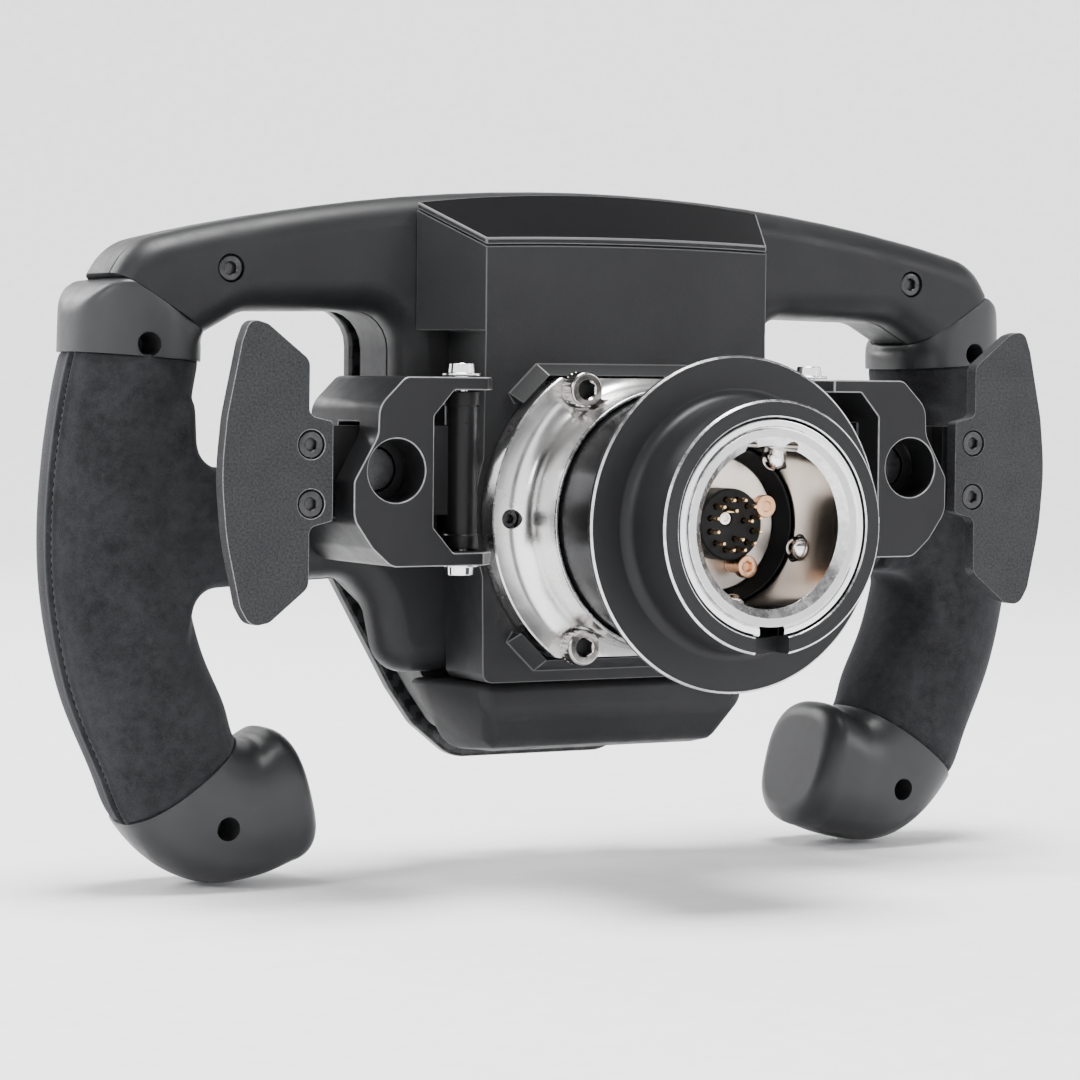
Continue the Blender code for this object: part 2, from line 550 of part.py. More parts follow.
def make_release(block):
    cavity = FLANGE_FACE + 2.0
    hub_profile = [(BORE_R + 2.1, 0), (TUBE_R, 0), (TUBE_R, -0.4), (TUBE_R - 0.7, -0.4), (TUBE_R - 0.7, -2.9)]
    hub_profile += [(TUBE_R, -2.9), (TUBE_R, cavity), (30.2, cavity), (30.2, BOSS_END), (30.6, BOSS_END)]
    hub_profile += [(BOSS_R, BOSS_END - 0.4)]
    hub_profile += fillet(BOSS_R + 5, FLANGE_FACE + 5, 5, 180, 270)
    hub_profile += [(FLANGE_R - 0.3, FLANGE_FACE), (FLANGE_R, FLANGE_FACE - 0.3), (FLANGE_R, BLOCK_REAR + GAP)]
    hub_profile += [(8.0, BLOCK_REAR + GAP), (8.0, BORE_FLOOR), (BORE_R, BORE_FLOOR), (BORE_R, -2.0)]
    hub = turned("qr_hub", hub_profile, bright_metal, steps=40)
    for word, sign in (("top", 1), ("bottom", -1)):
        ends = sorted((sign * FLANGE_FLAT, sign * (FLANGE_FLAT + 12)))
        cut(hub, box(f"flange_{word}", (-45, BLOCK_REAR - 2, ends[0]), (45, -45, ends[1])))

    for k, angle in enumerate(BOLT_ANGLES):
        x = BOLT_CIRCLE_R * math.cos(math.radians(angle))
        z = BOLT_CIRCLE_R * math.sin(math.radians(angle))
        way = rod(f"bolt_way_{k + 1}", (x, -78, z), (x, FLANGE_FACE + 1, z), 2.8, sides=12)
        seat = rod(f"bolt_seat_{k + 1}", (x, FLANGE_FACE, z), (x, FLANGE_FACE + 8, z), 4.9)
        cut(hub, way, seat)
        cut(block, way)
        face = FLANGE_FACE + GAP / 3
        bolt = [(0, face + 2.2), (2.1, face + 2.2), (2.1, face + 5), (3.8, face + 5), (4.25, face + 4.5), (4.25, face)]
        bolt += [(2.5, face), (2.5, -73), (0, -73)]
        turned(f"flange_bolt_{k + 1}", bolt, steel, steps=16, place=(x, 0, z))

    for k, angle in enumerate((73.5, 106.5)):
        x, z = 18.4 * math.cos(math.radians(angle)), 18.4 * math.sin(math.radians(angle))
        cut(hub, rod(f"mouth_notch_{k + 1}", (x, -9.0, z), (x, 2, z), 1.7, sides=14))

    for k in range(BALL_COUNT):
        angle = math.radians(270 + 360 / BALL_COUNT * k)
        out = Vector((math.cos(angle), 0, math.sin(angle)))
        at = out * BALL_CIRCLE + Vector((0, BALL_Y, 0))
        hole = rod(
            f"ball_way_{k + 1}", out * 14 + Vector((0, BALL_Y, 0)), out * 26 + Vector((0, BALL_Y, 0)), BALL_R + 0.3, sides=18
        )
        cut(hub, hole)
        ball_profile = [(BALL_R * math.sin(math.pi * j / 8), BALL_R * math.cos(math.pi * j / 8)) for j in range(9)]
        ball_profile[0] = (0, BALL_R)
        ball_profile[-1] = (0, -BALL_R)
        pivot_at(turned(f"lock_ball_{k + 1}", ball_profile, chrome, steps=12, place=tuple(at)), *at)

    flange_back = COLLAR_FACE - 1.4
    release = COLLAR_BORE_R + BALL_TRAVEL
    collar = [(25.2, 0), (28.4, 0), (COLLAR_BOSS_R, -0.4)]
    collar += fillet(COLLAR_BOSS_R + 3, COLLAR_FACE + 3, 3, 180, 270, 3)
    collar += [(COLLAR_R - 0.3, COLLAR_FACE), (COLLAR_R, COLLAR_FACE - 0.3), (COLLAR_R, flange_back), (33.5, -19.5)]
    collar += [(30.4, -21.5), (SLEEVE_R, -24.0), (SLEEVE_R, SLEEVE_END), (27.5, SLEEVE_END), (27.5, -21.5)]
    collar += [(COLLAR_BORE_R, -21.5), (COLLAR_BORE_R, BALL_Y), (release, BALL_Y + COLLAR_TRAVEL), (release, -5.0)]
    collar += [(COLLAR_BORE_R, -5.0), (COLLAR_BORE_R, -3.0), (24.9, -3.0), (24.9, -0.3)]
    collar_piece = turned("qr_collar", collar, anodised, steps=40)
    cut(collar_piece, box("collar_notch", (-4.5, -6.0, -32), (4.5, 2, -20)))

    ring = [(21.9, -0.7), (22.6, -0.7), (22.8, -0.3), (24.2, -0.3), (24.6, -0.7), (24.6, -2.7), (21.9, -2.7)]
    ring_piece = turned("qr_retaining_ring", ring, chrome, steps=32)
    cut(ring_piece, box("ring_gap", (-3.3, -4, -31), (3.3, 3, -15)))

    spring_curve = bpy.data.curves.new("qr_spring", "CURVE")
    spring_curve.dimensions = "3D"
    spring_curve.bevel_depth = 1.1
    spring_curve.bevel_resolution = 1
    spring_curve.use_fill_caps = True
    coil = spring_curve.splines.new("POLY")
    turns, per_turn, start, end = 5, 14, -22.9, FLANGE_FACE + 3.4
    coil.points.add(turns * per_turn)
    for k, point in enumerate(coil.points):
        angle = 2 * math.pi * k / per_turn
        height = start + (end - start) * k / (turns * per_turn)
        point.co = (24.9 * math.cos(angle), height, 24.9 * math.sin(angle), 1)
    carrier = bpy.data.objects.new("qr_spring", spring_curve)
    cutters.objects.link(carrier)
    bpy.context.view_layer.update()
    mesh = bpy.data.meshes.new_from_object(carrier.evaluated_get(bpy.context.evaluated_depsgraph_get()))
    bpy.data.objects.remove(carrier)
    bpy.data.curves.remove(spring_curve)
    mesh.materials.clear()
    put("qr_spring", cleaned(mesh), steel)

    make_connector()


def make_connector():
    floor = BORE_FLOOR + GAP
    cup = [(18.1, -20.6), (18.1, floor), (15.9, floor), (15.9, -24.9), (17.7, -20.6)]
    turned("connector_cup", cup, black_plastic, steps=40)
    turned("connector_plate", [(0, -24.9), (15.6, -24.9), (15.6, floor), (0, floor)], bright_metal, steps=36)
    core = [(0, -18.0), (8.3, -18.0), (8.3, -24.6), (0, -24.6)]
    block = turned("connector_block", core, black_plastic, steps=24)
    for k in range(12):
        angle = math.radians(30 * k + 15)
        x, z = 5.9 * math.cos(angle), 5.9 * math.sin(angle)
        add(block, rod(f"pin_{k + 1}", (x, -19, z), (x, -14.0, z), 0.5, sides=6))


# ---- Shifters ----
def make_shifter(side, word):
    corners = [(43.8, 33.1, 0), (68.3, 33.1, 2.5), (75.0, 26.5, 5), (75.2, 19.8, 5), (81.2, 9.4, 2), (81.2, 0.8, 6)]
    corners += [(76.5, -5.8, 4), (71.6, -10.1, 3), (43.8, -10.1, 0), (43.8, -7.1, 0), (55.8, -7.1, 0.5)]
    corners += [(61.0, -1.2, 0.5), (61.0, 24.2, 0.5), (55.8, 30.1, 0.5), (43.8, 30.1, 0)]
    bracket = slab(
        f"{word}_shifter_bracket", sided(rounded(corners, 3), side), BRACKET_FRONT, BRACKET_REAR, anodised
    )
    soften(bracket, 0.5, 1, 60)
    room = sorted((side * 40, side * 95))
    cut(bracket, box(f"{word}_lever_room", (room[0], -69.0, 0.3), (room[1], BRACKET_WALL, 22.7)))
    cut(bracket, rod(f"{word}_stop_way", (side * 70.5, -60, 11.8), (side * 70.5, -45, 11.8), 7.25, sides=32))
    pin_way = rod(f"{word}_pin_way", (side * PIVOT_X, PIVOT_Y, -15), (side * PIVOT_X, PIVOT_Y, 38), 1.8, sides=12)
    corner = hull(
        f"{word}_ear_corner",
        [
            (side * x, y, z)
            for z in (-12, 35)
            for x, y in ((43, BRACKET_REAR + 1), (48.6, BRACKET_REAR + 0.6), (43, BRACKET_REAR - 5))
        ],
    )
    cut(bracket, pin_way, corner)

    bolt = [(0, 36.3), (2.8, 36.3), (3.1, 36.0), (3.1, 34.0), (4.5, 34.0), (4.5, 33.4), (1.5, 33.4)]
    bolt += [(1.5, -10.4), (3.0, -10.4), (3.0, -12.6), (2.7, -12.9), (0, -12.9)]
    turned(f"{word}_hinge_bolt", bolt, steel, axis="Z", steps=14, place=(side * PIVOT_X, PIVOT_Y, 0))

    ends = sorted((side * (PIVOT_X + 2), side * 96.0))
    arm = box(
        f"{word}_shifter_lever", (ends[0], LEVER_FRONT, LEVER_LOW), (ends[1], LEVER_REAR, LEVER_HIGH), anodised, wheel
    )
    tube = rod(f"{word}_barrel", (side * PIVOT_X, PIVOT_Y, -6.8), (side * PIVOT_X, PIVOT_Y, 29.8), 4.2, sides=20)
    ends = sorted((side * 84.5, side * 96.0))
    pad = box(f"{word}_lever_pad", (ends[0], LEVER_REAR - 2, LEVER_LOW), (ends[1], LEVER_PAD, LEVER_HIGH))
    add(arm, tube, pad)
    cut(arm, rod(f"{word}_barrel_bore", (side * PIVOT_X, PIVOT_Y, -8), (side * PIVOT_X, PIVOT_Y, 31), 1.8, sides=12))
    cut(arm, rod(f"{word}_magnet_seat", (side * 70.5, -62, 11.8), (side * 70.5, -50, 11.8), 5.3, sides=20))
    magnet = rod(
        f"{word}_shifter_magnet", (side * 70.5, -61.7, 11.8), (side * 70.5, -59.0, 11.8), 5.0, bright_metal, 20, wheel
    )
    ends = sorted((side * 63, side * 73))
    box(f"{word}_shifter_switch", (ends[0], -73.5, 2.0), (ends[1], -70.2, 8.0), black_plastic, wheel)
    ends = sorted((side * 62.7, side * 73.3))
    cut(bracket, box(f"{word}_switch_room", (ends[0], -73.8, 1.7), (ends[1], -68.5, 8.3)))

    edge = [(85.5, 22.9, 1), (91.4, 24.2, 1.5), (91.3, 36.6, 1.2), (101.8, 44.2, 2), (107.4, 45.2, 3), (109.6, 41.0, 3)]
    edge += [(112.3, 24.0, 8), (113.5, 11.2, 30), (112.3, -3.5, 30), (109.6, -19.5, 4), (107.2, -22.9, 2.5)]
    edge += [(102.0, -22.3, 2.5), (91.4, -14.4, 1.5), (91.3, -0.9, 1.5), (85.5, 0.5, 1)]
    paddle = slab(f"{word}_paddle", sided(rounded(edge, 3), side), PADDLE_FRONT, PADDLE_REAR, powder_coat)
    soften(paddle, 0.5, 1, 60)
    parts = [arm, magnet, paddle]
    for k, (x, z) in enumerate(PADDLE_BOLTS):
        way = rod(f"{word}_paddle_way_{k + 1}", (side * x, -67, z), (side * x, -45, z), 1.9, sides=12)
        seat = rod(f"{word}_paddle_seat_{k + 1}", (side * x, PADDLE_REAR - 1.9, z), (side * x, -45, z), 3.35, sides=18)
        cut(paddle, way, seat)
        cut(arm, way)
        screw = [(0, PADDLE_REAR - 0.1), (2.8, PADDLE_REAR - 0.1), (3.0, PADDLE_REAR - 0.3), (3.0, PADDLE_REAR - 1.5)]
        screw += [(1.6, PADDLE_REAR - 1.5), (1.6, LEVER_FRONT + 0.3), (0, LEVER_FRONT + 0.3)]
        parts.append(turned(f"{word}_paddle_bolt_{k + 1}", screw, black_steel, steps=14, place=(side * x, 0, z)))
    for piece in parts:
        pivot_at(piece, side * PIVOT_X, PIVOT_Y, SHIFTER_MID_Z)


# ---- Front controls ----
def make_controls():
    top, foot = PLATE_FRONT - 3.4, -107.0
    for k, (x, z) in enumerate(BUTTONS):
        profile = [(0, top), (BUTTON_R - 0.8, top), (BUTTON_R, top + 0.7), (BUTTON_R, PLATE_REAR + 0.4)]
        profile += [(BUTTON_FLANGE_R, PLATE_REAR + 0.4), (BUTTON_FLANGE_R, foot), (0, foot)]
        pivot_at(turned(f"button_{k + 1}", profile, button_finish, steps=20, place=(x, 0, z)), x, top, z)
    for name, x, z, radius in KNOBS:
        face, skirt = PLATE_FRONT - 12.0, PLATE_FRONT - 0.6
        profile = [(0, face), (radius - 1.0, face), (radius - 0.2, face + 0.9), (radius, skirt), (3.0, skirt)]
        profile += [(3.0, -106.0), (0, -106.0)]
        knob = turned(name, profile, knob_finish, steps=24, place=(x, 0, z))
        cut(knob, box(name + "_mark", (x - 0.5, face - 1, z + radius * 0.35), (x + 0.5, face + 0.5, z + radius + 1)))
        pivot_at(knob, x, face, z)


make_body()
make_release(make_block())
for side, word in ((1, "right"), (-1, "left")):
    make_shifter(side, word)
make_controls()
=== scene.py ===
import json
import math

import bmesh
import bpy
from mathutils import Matrix, Vector

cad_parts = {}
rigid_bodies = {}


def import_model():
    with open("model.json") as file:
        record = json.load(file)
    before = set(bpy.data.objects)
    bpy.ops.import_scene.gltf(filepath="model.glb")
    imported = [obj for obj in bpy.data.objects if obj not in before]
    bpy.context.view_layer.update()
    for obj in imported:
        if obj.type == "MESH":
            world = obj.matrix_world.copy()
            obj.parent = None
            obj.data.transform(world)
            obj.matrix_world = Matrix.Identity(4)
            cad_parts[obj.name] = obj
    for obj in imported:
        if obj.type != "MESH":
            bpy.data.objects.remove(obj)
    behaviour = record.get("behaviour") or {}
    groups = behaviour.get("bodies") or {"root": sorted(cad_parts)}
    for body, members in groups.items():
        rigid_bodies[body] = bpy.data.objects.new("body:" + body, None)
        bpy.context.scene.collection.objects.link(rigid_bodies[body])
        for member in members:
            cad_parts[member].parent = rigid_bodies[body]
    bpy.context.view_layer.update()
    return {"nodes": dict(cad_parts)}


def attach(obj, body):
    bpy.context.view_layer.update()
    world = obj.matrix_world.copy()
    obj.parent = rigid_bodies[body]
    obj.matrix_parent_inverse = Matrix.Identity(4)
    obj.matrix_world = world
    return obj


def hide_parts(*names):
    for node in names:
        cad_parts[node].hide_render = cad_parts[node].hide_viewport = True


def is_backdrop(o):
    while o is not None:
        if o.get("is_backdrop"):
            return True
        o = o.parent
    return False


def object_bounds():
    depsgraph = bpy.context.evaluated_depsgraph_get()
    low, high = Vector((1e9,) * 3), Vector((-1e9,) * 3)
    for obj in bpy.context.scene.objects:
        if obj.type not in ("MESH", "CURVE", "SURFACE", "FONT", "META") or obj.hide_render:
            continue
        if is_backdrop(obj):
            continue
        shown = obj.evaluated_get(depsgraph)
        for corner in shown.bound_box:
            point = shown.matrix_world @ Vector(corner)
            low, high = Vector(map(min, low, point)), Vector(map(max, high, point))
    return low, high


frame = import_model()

mm = 0.001  # every length below is in millimetres until a mesh is made
sides = ((1, "right"), (-1, "left"))
workshop = bpy.data.collections.new("workshop")  # holds shapes only while they are being made
bpy.context.scene.collection.children.link(workshop)
print("frame loaded:", len(frame["nodes"]), "nodes")


# Finishes: each is a principled surface whose colour, gloss and relief vary with the place on the piece

def newFinish(name, baseColour, roughness, metallic=0.0, sockets=None):
    finish = bpy.data.materials.new(name)
    finish.use_nodes = True
    shader = finish.node_tree.nodes["Principled BSDF"]
    shader.inputs["Base Color"].default_value = (*baseColour, 1)
    shader.inputs["Roughness"].default_value = roughness
    shader.inputs["Metallic"].default_value = metallic
    for socket, value in (sockets or {}).items():
        shader.inputs[socket].default_value = value
    finish.diffuse_color = (*baseColour, 1)
    return finish


def addNode(finish, kind, inputs=None, **settings):
    node = finish.node_tree.nodes.new("ShaderNode" + kind)
    for key, value in settings.items():
        setattr(node, key, value)
    for socket, value in (inputs or {}).items():
        if isinstance(value, bpy.types.NodeSocket):
            finish.node_tree.links.new(value, node.inputs[socket])
        else:
            node.inputs[socket].default_value = value
    return node


def feed(finish, socket, output):
    finish.node_tree.links.new(output, finish.node_tree.nodes["Principled BSDF"].inputs[socket])


def objectPlace(finish):
    return addNode(finish, "TexCoord").outputs["Object"]


def cloud(finish, place, scale, detail=3.0, rough=0.55):
    return addNode(finish, "TexNoise", {"Vector": place, "Scale": scale, "Detail": detail,
                                        "Roughness": rough})


def mixedColour(finish, factor, dark, light, low=0.35, high=0.65):
    ramp = addNode(finish, "ValToRGB", {"Fac": factor})
    ramp.color_ramp.elements[0].position = low
    ramp.color_ramp.elements[0].color = (*dark, 1)
    ramp.color_ramp.elements[1].position = high
    ramp.color_ramp.elements[1].color = (*light, 1)
    return ramp.outputs["Color"]


def ranged(finish, value, low, high, fromLow=0.3, fromHigh=0.7):
    inputs = {"Value": value, "From Min": fromLow, "From Max": fromHigh, "To Min": low, "To Max": high}
    return addNode(finish, "MapRange", inputs).outputs["Result"]


def bumped(finish, height, strength, distance, under=None):
    inputs = {"Height": height, "Strength": strength, "Distance": distance}
    if under:
        inputs["Normal"] = under
    return addNode(finish, "Bump", inputs).outputs["Normal"]


def shade(colour, amount):
    return tuple(min(1.0, c * amount) for c in colour)


# Moulded plastic: a fine grain from the tool, faint flow clouds and handling marks in the gloss
def mouldedPlastic(name, colour, roughness, grainSize=0.32, grainDepth=0.03, spread=0.10, coat=0.0,
                   level=0.2):
    finish = newFinish(name, colour, roughness,
                       sockets={"Coat Weight": coat, "Coat Roughness": 0.25, "Specular IOR Level": level})
    place = objectPlace(finish)
    flow = cloud(finish, place, 38.0, 4.0)
    grain = addNode(finish, "TexVoronoi", {"Vector": place, "Scale": 1000 / grainSize})
    fine = cloud(finish, place, 1000 / grainSize * 0.8, 2.0)
    rub = cloud(finish, place, 160.0, 6.0, 0.7)
    feed(finish, "Base Color", mixedColour(finish, flow.outputs["Fac"], shade(colour, 0.86),
                                           shade(colour, 1.14)))
    feed(finish, "Roughness", ranged(finish, rub.outputs["Fac"], roughness - spread / 2,
                                     roughness + spread))
    coarse = bumped(finish, grain.outputs["Distance"], 0.5, grainDepth * mm)
    feed(finish, "Normal", bumped(finish, fine.outputs["Fac"], 0.35, grainDepth * mm, coarse))
    return finish


# Turned metal: fine rings left by the tool around the steering axis
def turnedMetal(name, colour, roughness, ringDepth=0.008, spread=0.10, metallic=1.0, level=0.5):
    finish = newFinish(name, colour, roughness, metallic, {"Specular IOR Level": level})
    place = objectPlace(finish)
    parts = addNode(finish, "SeparateXYZ", {"Vector": place})
    flat = addNode(finish, "CombineXYZ", {"X": parts.outputs["X"], "Y": parts.outputs["Z"]})
    radius = addNode(finish, "VectorMath", {0: flat.outputs["Vector"]}, operation="LENGTH")
    lathe = addNode(finish, "CombineXYZ", {"X": radius.outputs["Value"], "Y": parts.outputs["Y"]})
    rings = cloud(finish, lathe.outputs["Vector"], 5200.0, 3.0)
    stain = cloud(finish, place, 60.0, 5.0)
    feed(finish, "Base Color", mixedColour(finish, stain.outputs["Fac"], shade(colour, 0.93),
                                           shade(colour, 1.04)))
    feed(finish, "Roughness", ranged(finish, stain.outputs["Fac"], roughness - spread / 2,
                                     roughness + spread))
    feed(finish, "Normal", bumped(finish, rings.outputs["Fac"], 0.35, ringDepth * mm))
    return finish


# Polished or blackened metal for small parts, with pin-prick wear
def smallMetal(name, colour, roughness, metallic=1.0, spread=0.12, wear=0.25, pit=0.004):
    finish = newFinish(name, colour, roughness, metallic)
    place = objectPlace(finish)
    stain = cloud(finish, place, 420.0, 5.0, 0.65)
    pits = cloud(finish, place, 2600.0, 3.0)
    feed(finish, "Base Color", mixedColour(finish, stain.outputs["Fac"], shade(colour, 1 - wear),
                                           shade(colour, 1 + wear)))
    feed(finish, "Roughness", ranged(finish, stain.outputs["Fac"], roughness - spread / 2,
                                     roughness + spread))
    feed(finish, "Normal", bumped(finish, pits.outputs["Fac"], 0.2, pit * mm))
    return finish


# Powder coat: a speckled, slightly pebbled paint
def powderCoat(name, colour):
    finish = newFinish(name, colour, 0.62, 0.0, {"Specular IOR Level": 0.2})
    place = objectPlace(finish)
    pebble = addNode(finish, "TexVoronoi", {"Vector": place, "Scale": 2400.0}, feature="SMOOTH_F1")
    speck = cloud(finish, place, 1900.0, 3.0, 0.6)
    patch = cloud(finish, place, 120.0, 4.0)
    feed(finish, "Base Color", mixedColour(finish, speck.outputs["Fac"], shade(colour, 0.62),
                                           shade(colour, 1.5)))
    feed(finish, "Roughness", ranged(finish, patch.outputs["Fac"], 0.52, 0.72))
    feed(finish, "Normal", bumped(finish, pebble.outputs["Distance"], 0.55, 0.05 * mm))
    return finish


# Suede: brushed nap that lies in patches, over short fibres
def brushedSuede(name, colour):
    finish = newFinish(name, colour, 0.95, 0.0, {
        "Specular IOR Level": 0.1, "Sheen Weight": 0.13, "Sheen Roughness": 0.45,
        "Sheen Tint": (0.60, 0.61, 0.64, 1)})
    place = objectPlace(finish)
    patch = cloud(finish, place, 95.0, 5.0, 0.6)
    brush = cloud(finish, place, 430.0, 4.0, 0.6)
    fibre = cloud(finish, place, 2300.0, 4.0, 0.7)
    mixed = addNode(finish, "Math", {0: patch.outputs["Fac"], 1: brush.outputs["Fac"]}, operation="ADD")
    tone = addNode(finish, "Math", {0: mixed.outputs["Value"], 1: fibre.outputs["Fac"]}, operation="ADD")
    nap = ranged(finish, tone.outputs["Value"], 0, 1, 1.15, 1.85)
    feed(finish, "Base Color", mixedColour(finish, nap, shade(colour, 0.55), shade(colour, 1.65), 0.0, 1.0))
    feed(finish, "Roughness", ranged(finish, brush.outputs["Fac"], 0.86, 1.0))
    deep = bumped(finish, brush.outputs["Fac"], 0.35, 0.25 * mm)
    feed(finish, "Normal", bumped(finish, fibre.outputs["Fac"], 0.7, 0.16 * mm, deep))
    return finish


# Woven composite: a two by two twill under clear lacquer
def wovenPlate(name, colour):
    finish = newFinish(name, colour, 0.38, 0.0,
                       {"Coat Weight": 0.3, "Coat Roughness": 0.12, "Specular IOR Level": 0.25})
    place = addNode(finish, "VectorMath", {0: objectPlace(finish), 1: (620.0, 620.0, 620.0)},
                    operation="MULTIPLY")
    parts = addNode(finish, "SeparateXYZ", {"Vector": place.outputs["Vector"]})

    def reckon(kind, a, b=0.0):
        return addNode(finish, "Math", {0: a, 1: b}, operation=kind).outputs["Value"]

    warp, weft = reckon("FLOOR", parts.outputs["X"]), reckon("FLOOR", parts.outputs["Z"])
    step = reckon("FLOORED_MODULO", reckon("ADD", warp, weft), 4.0)
    over = reckon("LESS_THAN", step, 1.5)
    warpRound = reckon("PINGPONG", reckon("FRACT", parts.outputs["X"]), 0.5)
    weftRound = reckon("PINGPONG", reckon("FRACT", parts.outputs["Z"]), 0.5)
    height = addNode(finish, "Mix", {"Factor": over, "A": weftRound, "B": warpRound}, data_type="FLOAT")
    feed(finish, "Base Color", mixedColour(finish, over, shade(colour, 0.45), shade(colour, 1.9), 0.0, 1.0))
    feed(finish, "Roughness", ranged(finish, over, 0.30, 0.46, 0, 1))
    feed(finish, "Normal", bumped(finish, height.outputs["Result"], 0.5, 0.12 * mm))
    return finish


# Glossy black panel: almost mirror-like, with a faint orange peel and dust
def glossPanel(name, colour, roughness=0.10):
    finish = newFinish(name, colour, roughness, 0.0,
                       {"Coat Weight": 0.12, "Coat Roughness": 0.05, "Specular IOR Level": 0.25})
    place = objectPlace(finish)
    peel = cloud(finish, place, 240.0, 2.0)
    dust = cloud(finish, place, 900.0, 6.0, 0.7)
    feed(finish, "Base Color", mixedColour(finish, dust.outputs["Fac"], shade(colour, 0.8),
                                           shade(colour, 1.3)))
    feed(finish, "Roughness", ranged(finish, dust.outputs["Fac"], roughness * 0.7, roughness * 1.8))
    feed(finish, "Normal", bumped(finish, peel.outputs["Fac"], 0.12, 0.05 * mm))
    return finish


finishes = {
    "shell": mouldedPlastic("shellPlastic", (0.0125, 0.0128, 0.0135), 0.42),
    "housing": mouldedPlastic("housingPlastic", (0.0125, 0.0128, 0.0135), 0.47, 0.38, 0.04),
    # Lighter plastic for the housing's bevel faces: a painted edge highlight
    "housingEdgeHighlight": mouldedPlastic("housingEdgeHighlight", (0.060, 0.0605, 0.062), 0.40, 0.38, 0.01, level=0.4),
    "cap": mouldedPlastic("capPlastic", (0.020, 0.0204, 0.0215), 0.38, 0.25, 0.015, level=0.32),
    # Lighter plastic for the bevels of the caps and the top panel: a painted edge highlight
    "capEdgeHighlight": mouldedPlastic("capEdgeHighlight", (0.10, 0.10, 0.103), 0.36, 0.25, 0.01),
    "darkPlastic": mouldedPlastic("darkPlastic", (0.005, 0.005, 0.0055), 0.50, 0.25, 0.02),
    "gloss": glossPanel("glossPanel", (0.003, 0.003, 0.0035)),
    "plate": wovenPlate("wovenPlate", (0.012, 0.0123, 0.0133)),
    # Lighter plastic for the front plate's side walls and hole walls: a painted edge highlight
    "plateEdgeHighlight": mouldedPlastic("plateEdgeHighlight", (0.030, 0.0305, 0.032), 0.33, 0.5, 0.01),
    "suede": brushedSuede("brushedSuede", (0.0165, 0.0168, 0.018)),
    "thread": brushedSuede("seamThread", (0.004, 0.004, 0.0045)),
    "hub": turnedMetal("turnedHub", (0.80, 0.79, 0.78), 0.24),
    "hubMouth": turnedMetal("groundMouth", (0.50, 0.50, 0.51), 0.36, 0.006, 0.03),
    # Warm tint of the bore: partly nickel's own colour, partly painted brown reflections
    "bore": turnedMetal("nickelBoreWarmReflection", (0.74, 0.68, 0.62), 0.13, 0.004, 0.05),
    "chrome": smallMetal("brightChrome", (0.86, 0.86, 0.87), 0.08, 1.0, 0.05, 0.04),
    "steel": smallMetal("plainSteel", (0.60, 0.57, 0.53), 0.24),
    "blackSteel": smallMetal("blackSteel", (0.045, 0.045, 0.047), 0.30, 0.9),
    "gold": smallMetal("goldContacts", (0.86, 0.62, 0.34), 0.18, 1.0, 0.08, 0.1),
    "copper": smallMetal("copperPosts", (0.72, 0.42, 0.26), 0.28, 1.0, 0.1, 0.15),
    "paleDisc": smallMetal("paleDisc", (0.80, 0.75, 0.70), 0.32, 1.0, 0.08, 0.05),
    "collar": turnedMetal("anodisedCollar", (0.0115, 0.0117, 0.0125), 0.42, 0.008, 0.06, 0.1, 0.22),
    "sleeve": turnedMetal("satinSleeve", (0.055, 0.055, 0.057), 0.24, 0.006, 0.05, 0.9),
    "rim": smallMetal("brightRim", (0.62, 0.62, 0.63), 0.25, 1.0, 0.08, 0.2),
    "bracket": mouldedPlastic("blackBracket", (0.0085, 0.0086, 0.0092), 0.34, 0.5, 0.012),
    # Light metal for the bracket's bevel faces: a painted highlight along its outline and hole
    "bracketEdgeHighlight": smallMetal("paintedBracketEdgeHighlight", (0.22, 0.22, 0.225), 0.32, 0.4, 0.1, 0.2),
    "lever": mouldedPlastic("leverFinish", (0.0085, 0.0086, 0.0092), 0.32, 0.5, 0.012),
    "paddle": powderCoat("paddleCoat", (0.021, 0.0214, 0.0225)),
    # Much lighter coat for the paddle's bevel faces: a painted edge highlight
    "paddleEdgeHighlight": powderCoat("paddleEdgeHighlight", (0.17, 0.17, 0.175)),
    "boltSteel": smallMetal("boltSteel", (0.40, 0.385, 0.365), 0.20, 1.0, 0.06, 0.12),
    # Near-black for the insides of bolt sockets, painted shade in the recess, and for the dark part lines
    # where the caps' halves meet
    "socket": smallMetal("socketShadeAndPartLine", (0.010, 0.010, 0.0105), 0.50, 0.3, 0.1, 0.3),
    "board": mouldedPlastic("boardGreen", (0.02, 0.09, 0.05), 0.4),
    "screen": glossPanel("displayGlass", (0.008, 0.010, 0.013), 0.06),
    "knob": smallMetal("knobAnodised", (0.10, 0.10, 0.11), 0.34, 0.9),
    "redCap": mouldedPlastic("redButton", (0.42, 0.02, 0.018), 0.34, 0.4, 0.01),
    "blueCap": mouldedPlastic("blueButton", (0.015, 0.06, 0.30), 0.34, 0.4, 0.01),
    "greyCap": mouldedPlastic("greyButton", (0.26, 0.26, 0.27), 0.36, 0.4, 0.01),
    "lamp": mouldedPlastic("lampLens", (0.10, 0.10, 0.105), 0.22, 0.4, 0.01, coat=0.4),
}
print("finishes made:", len(finishes))


# Shapes

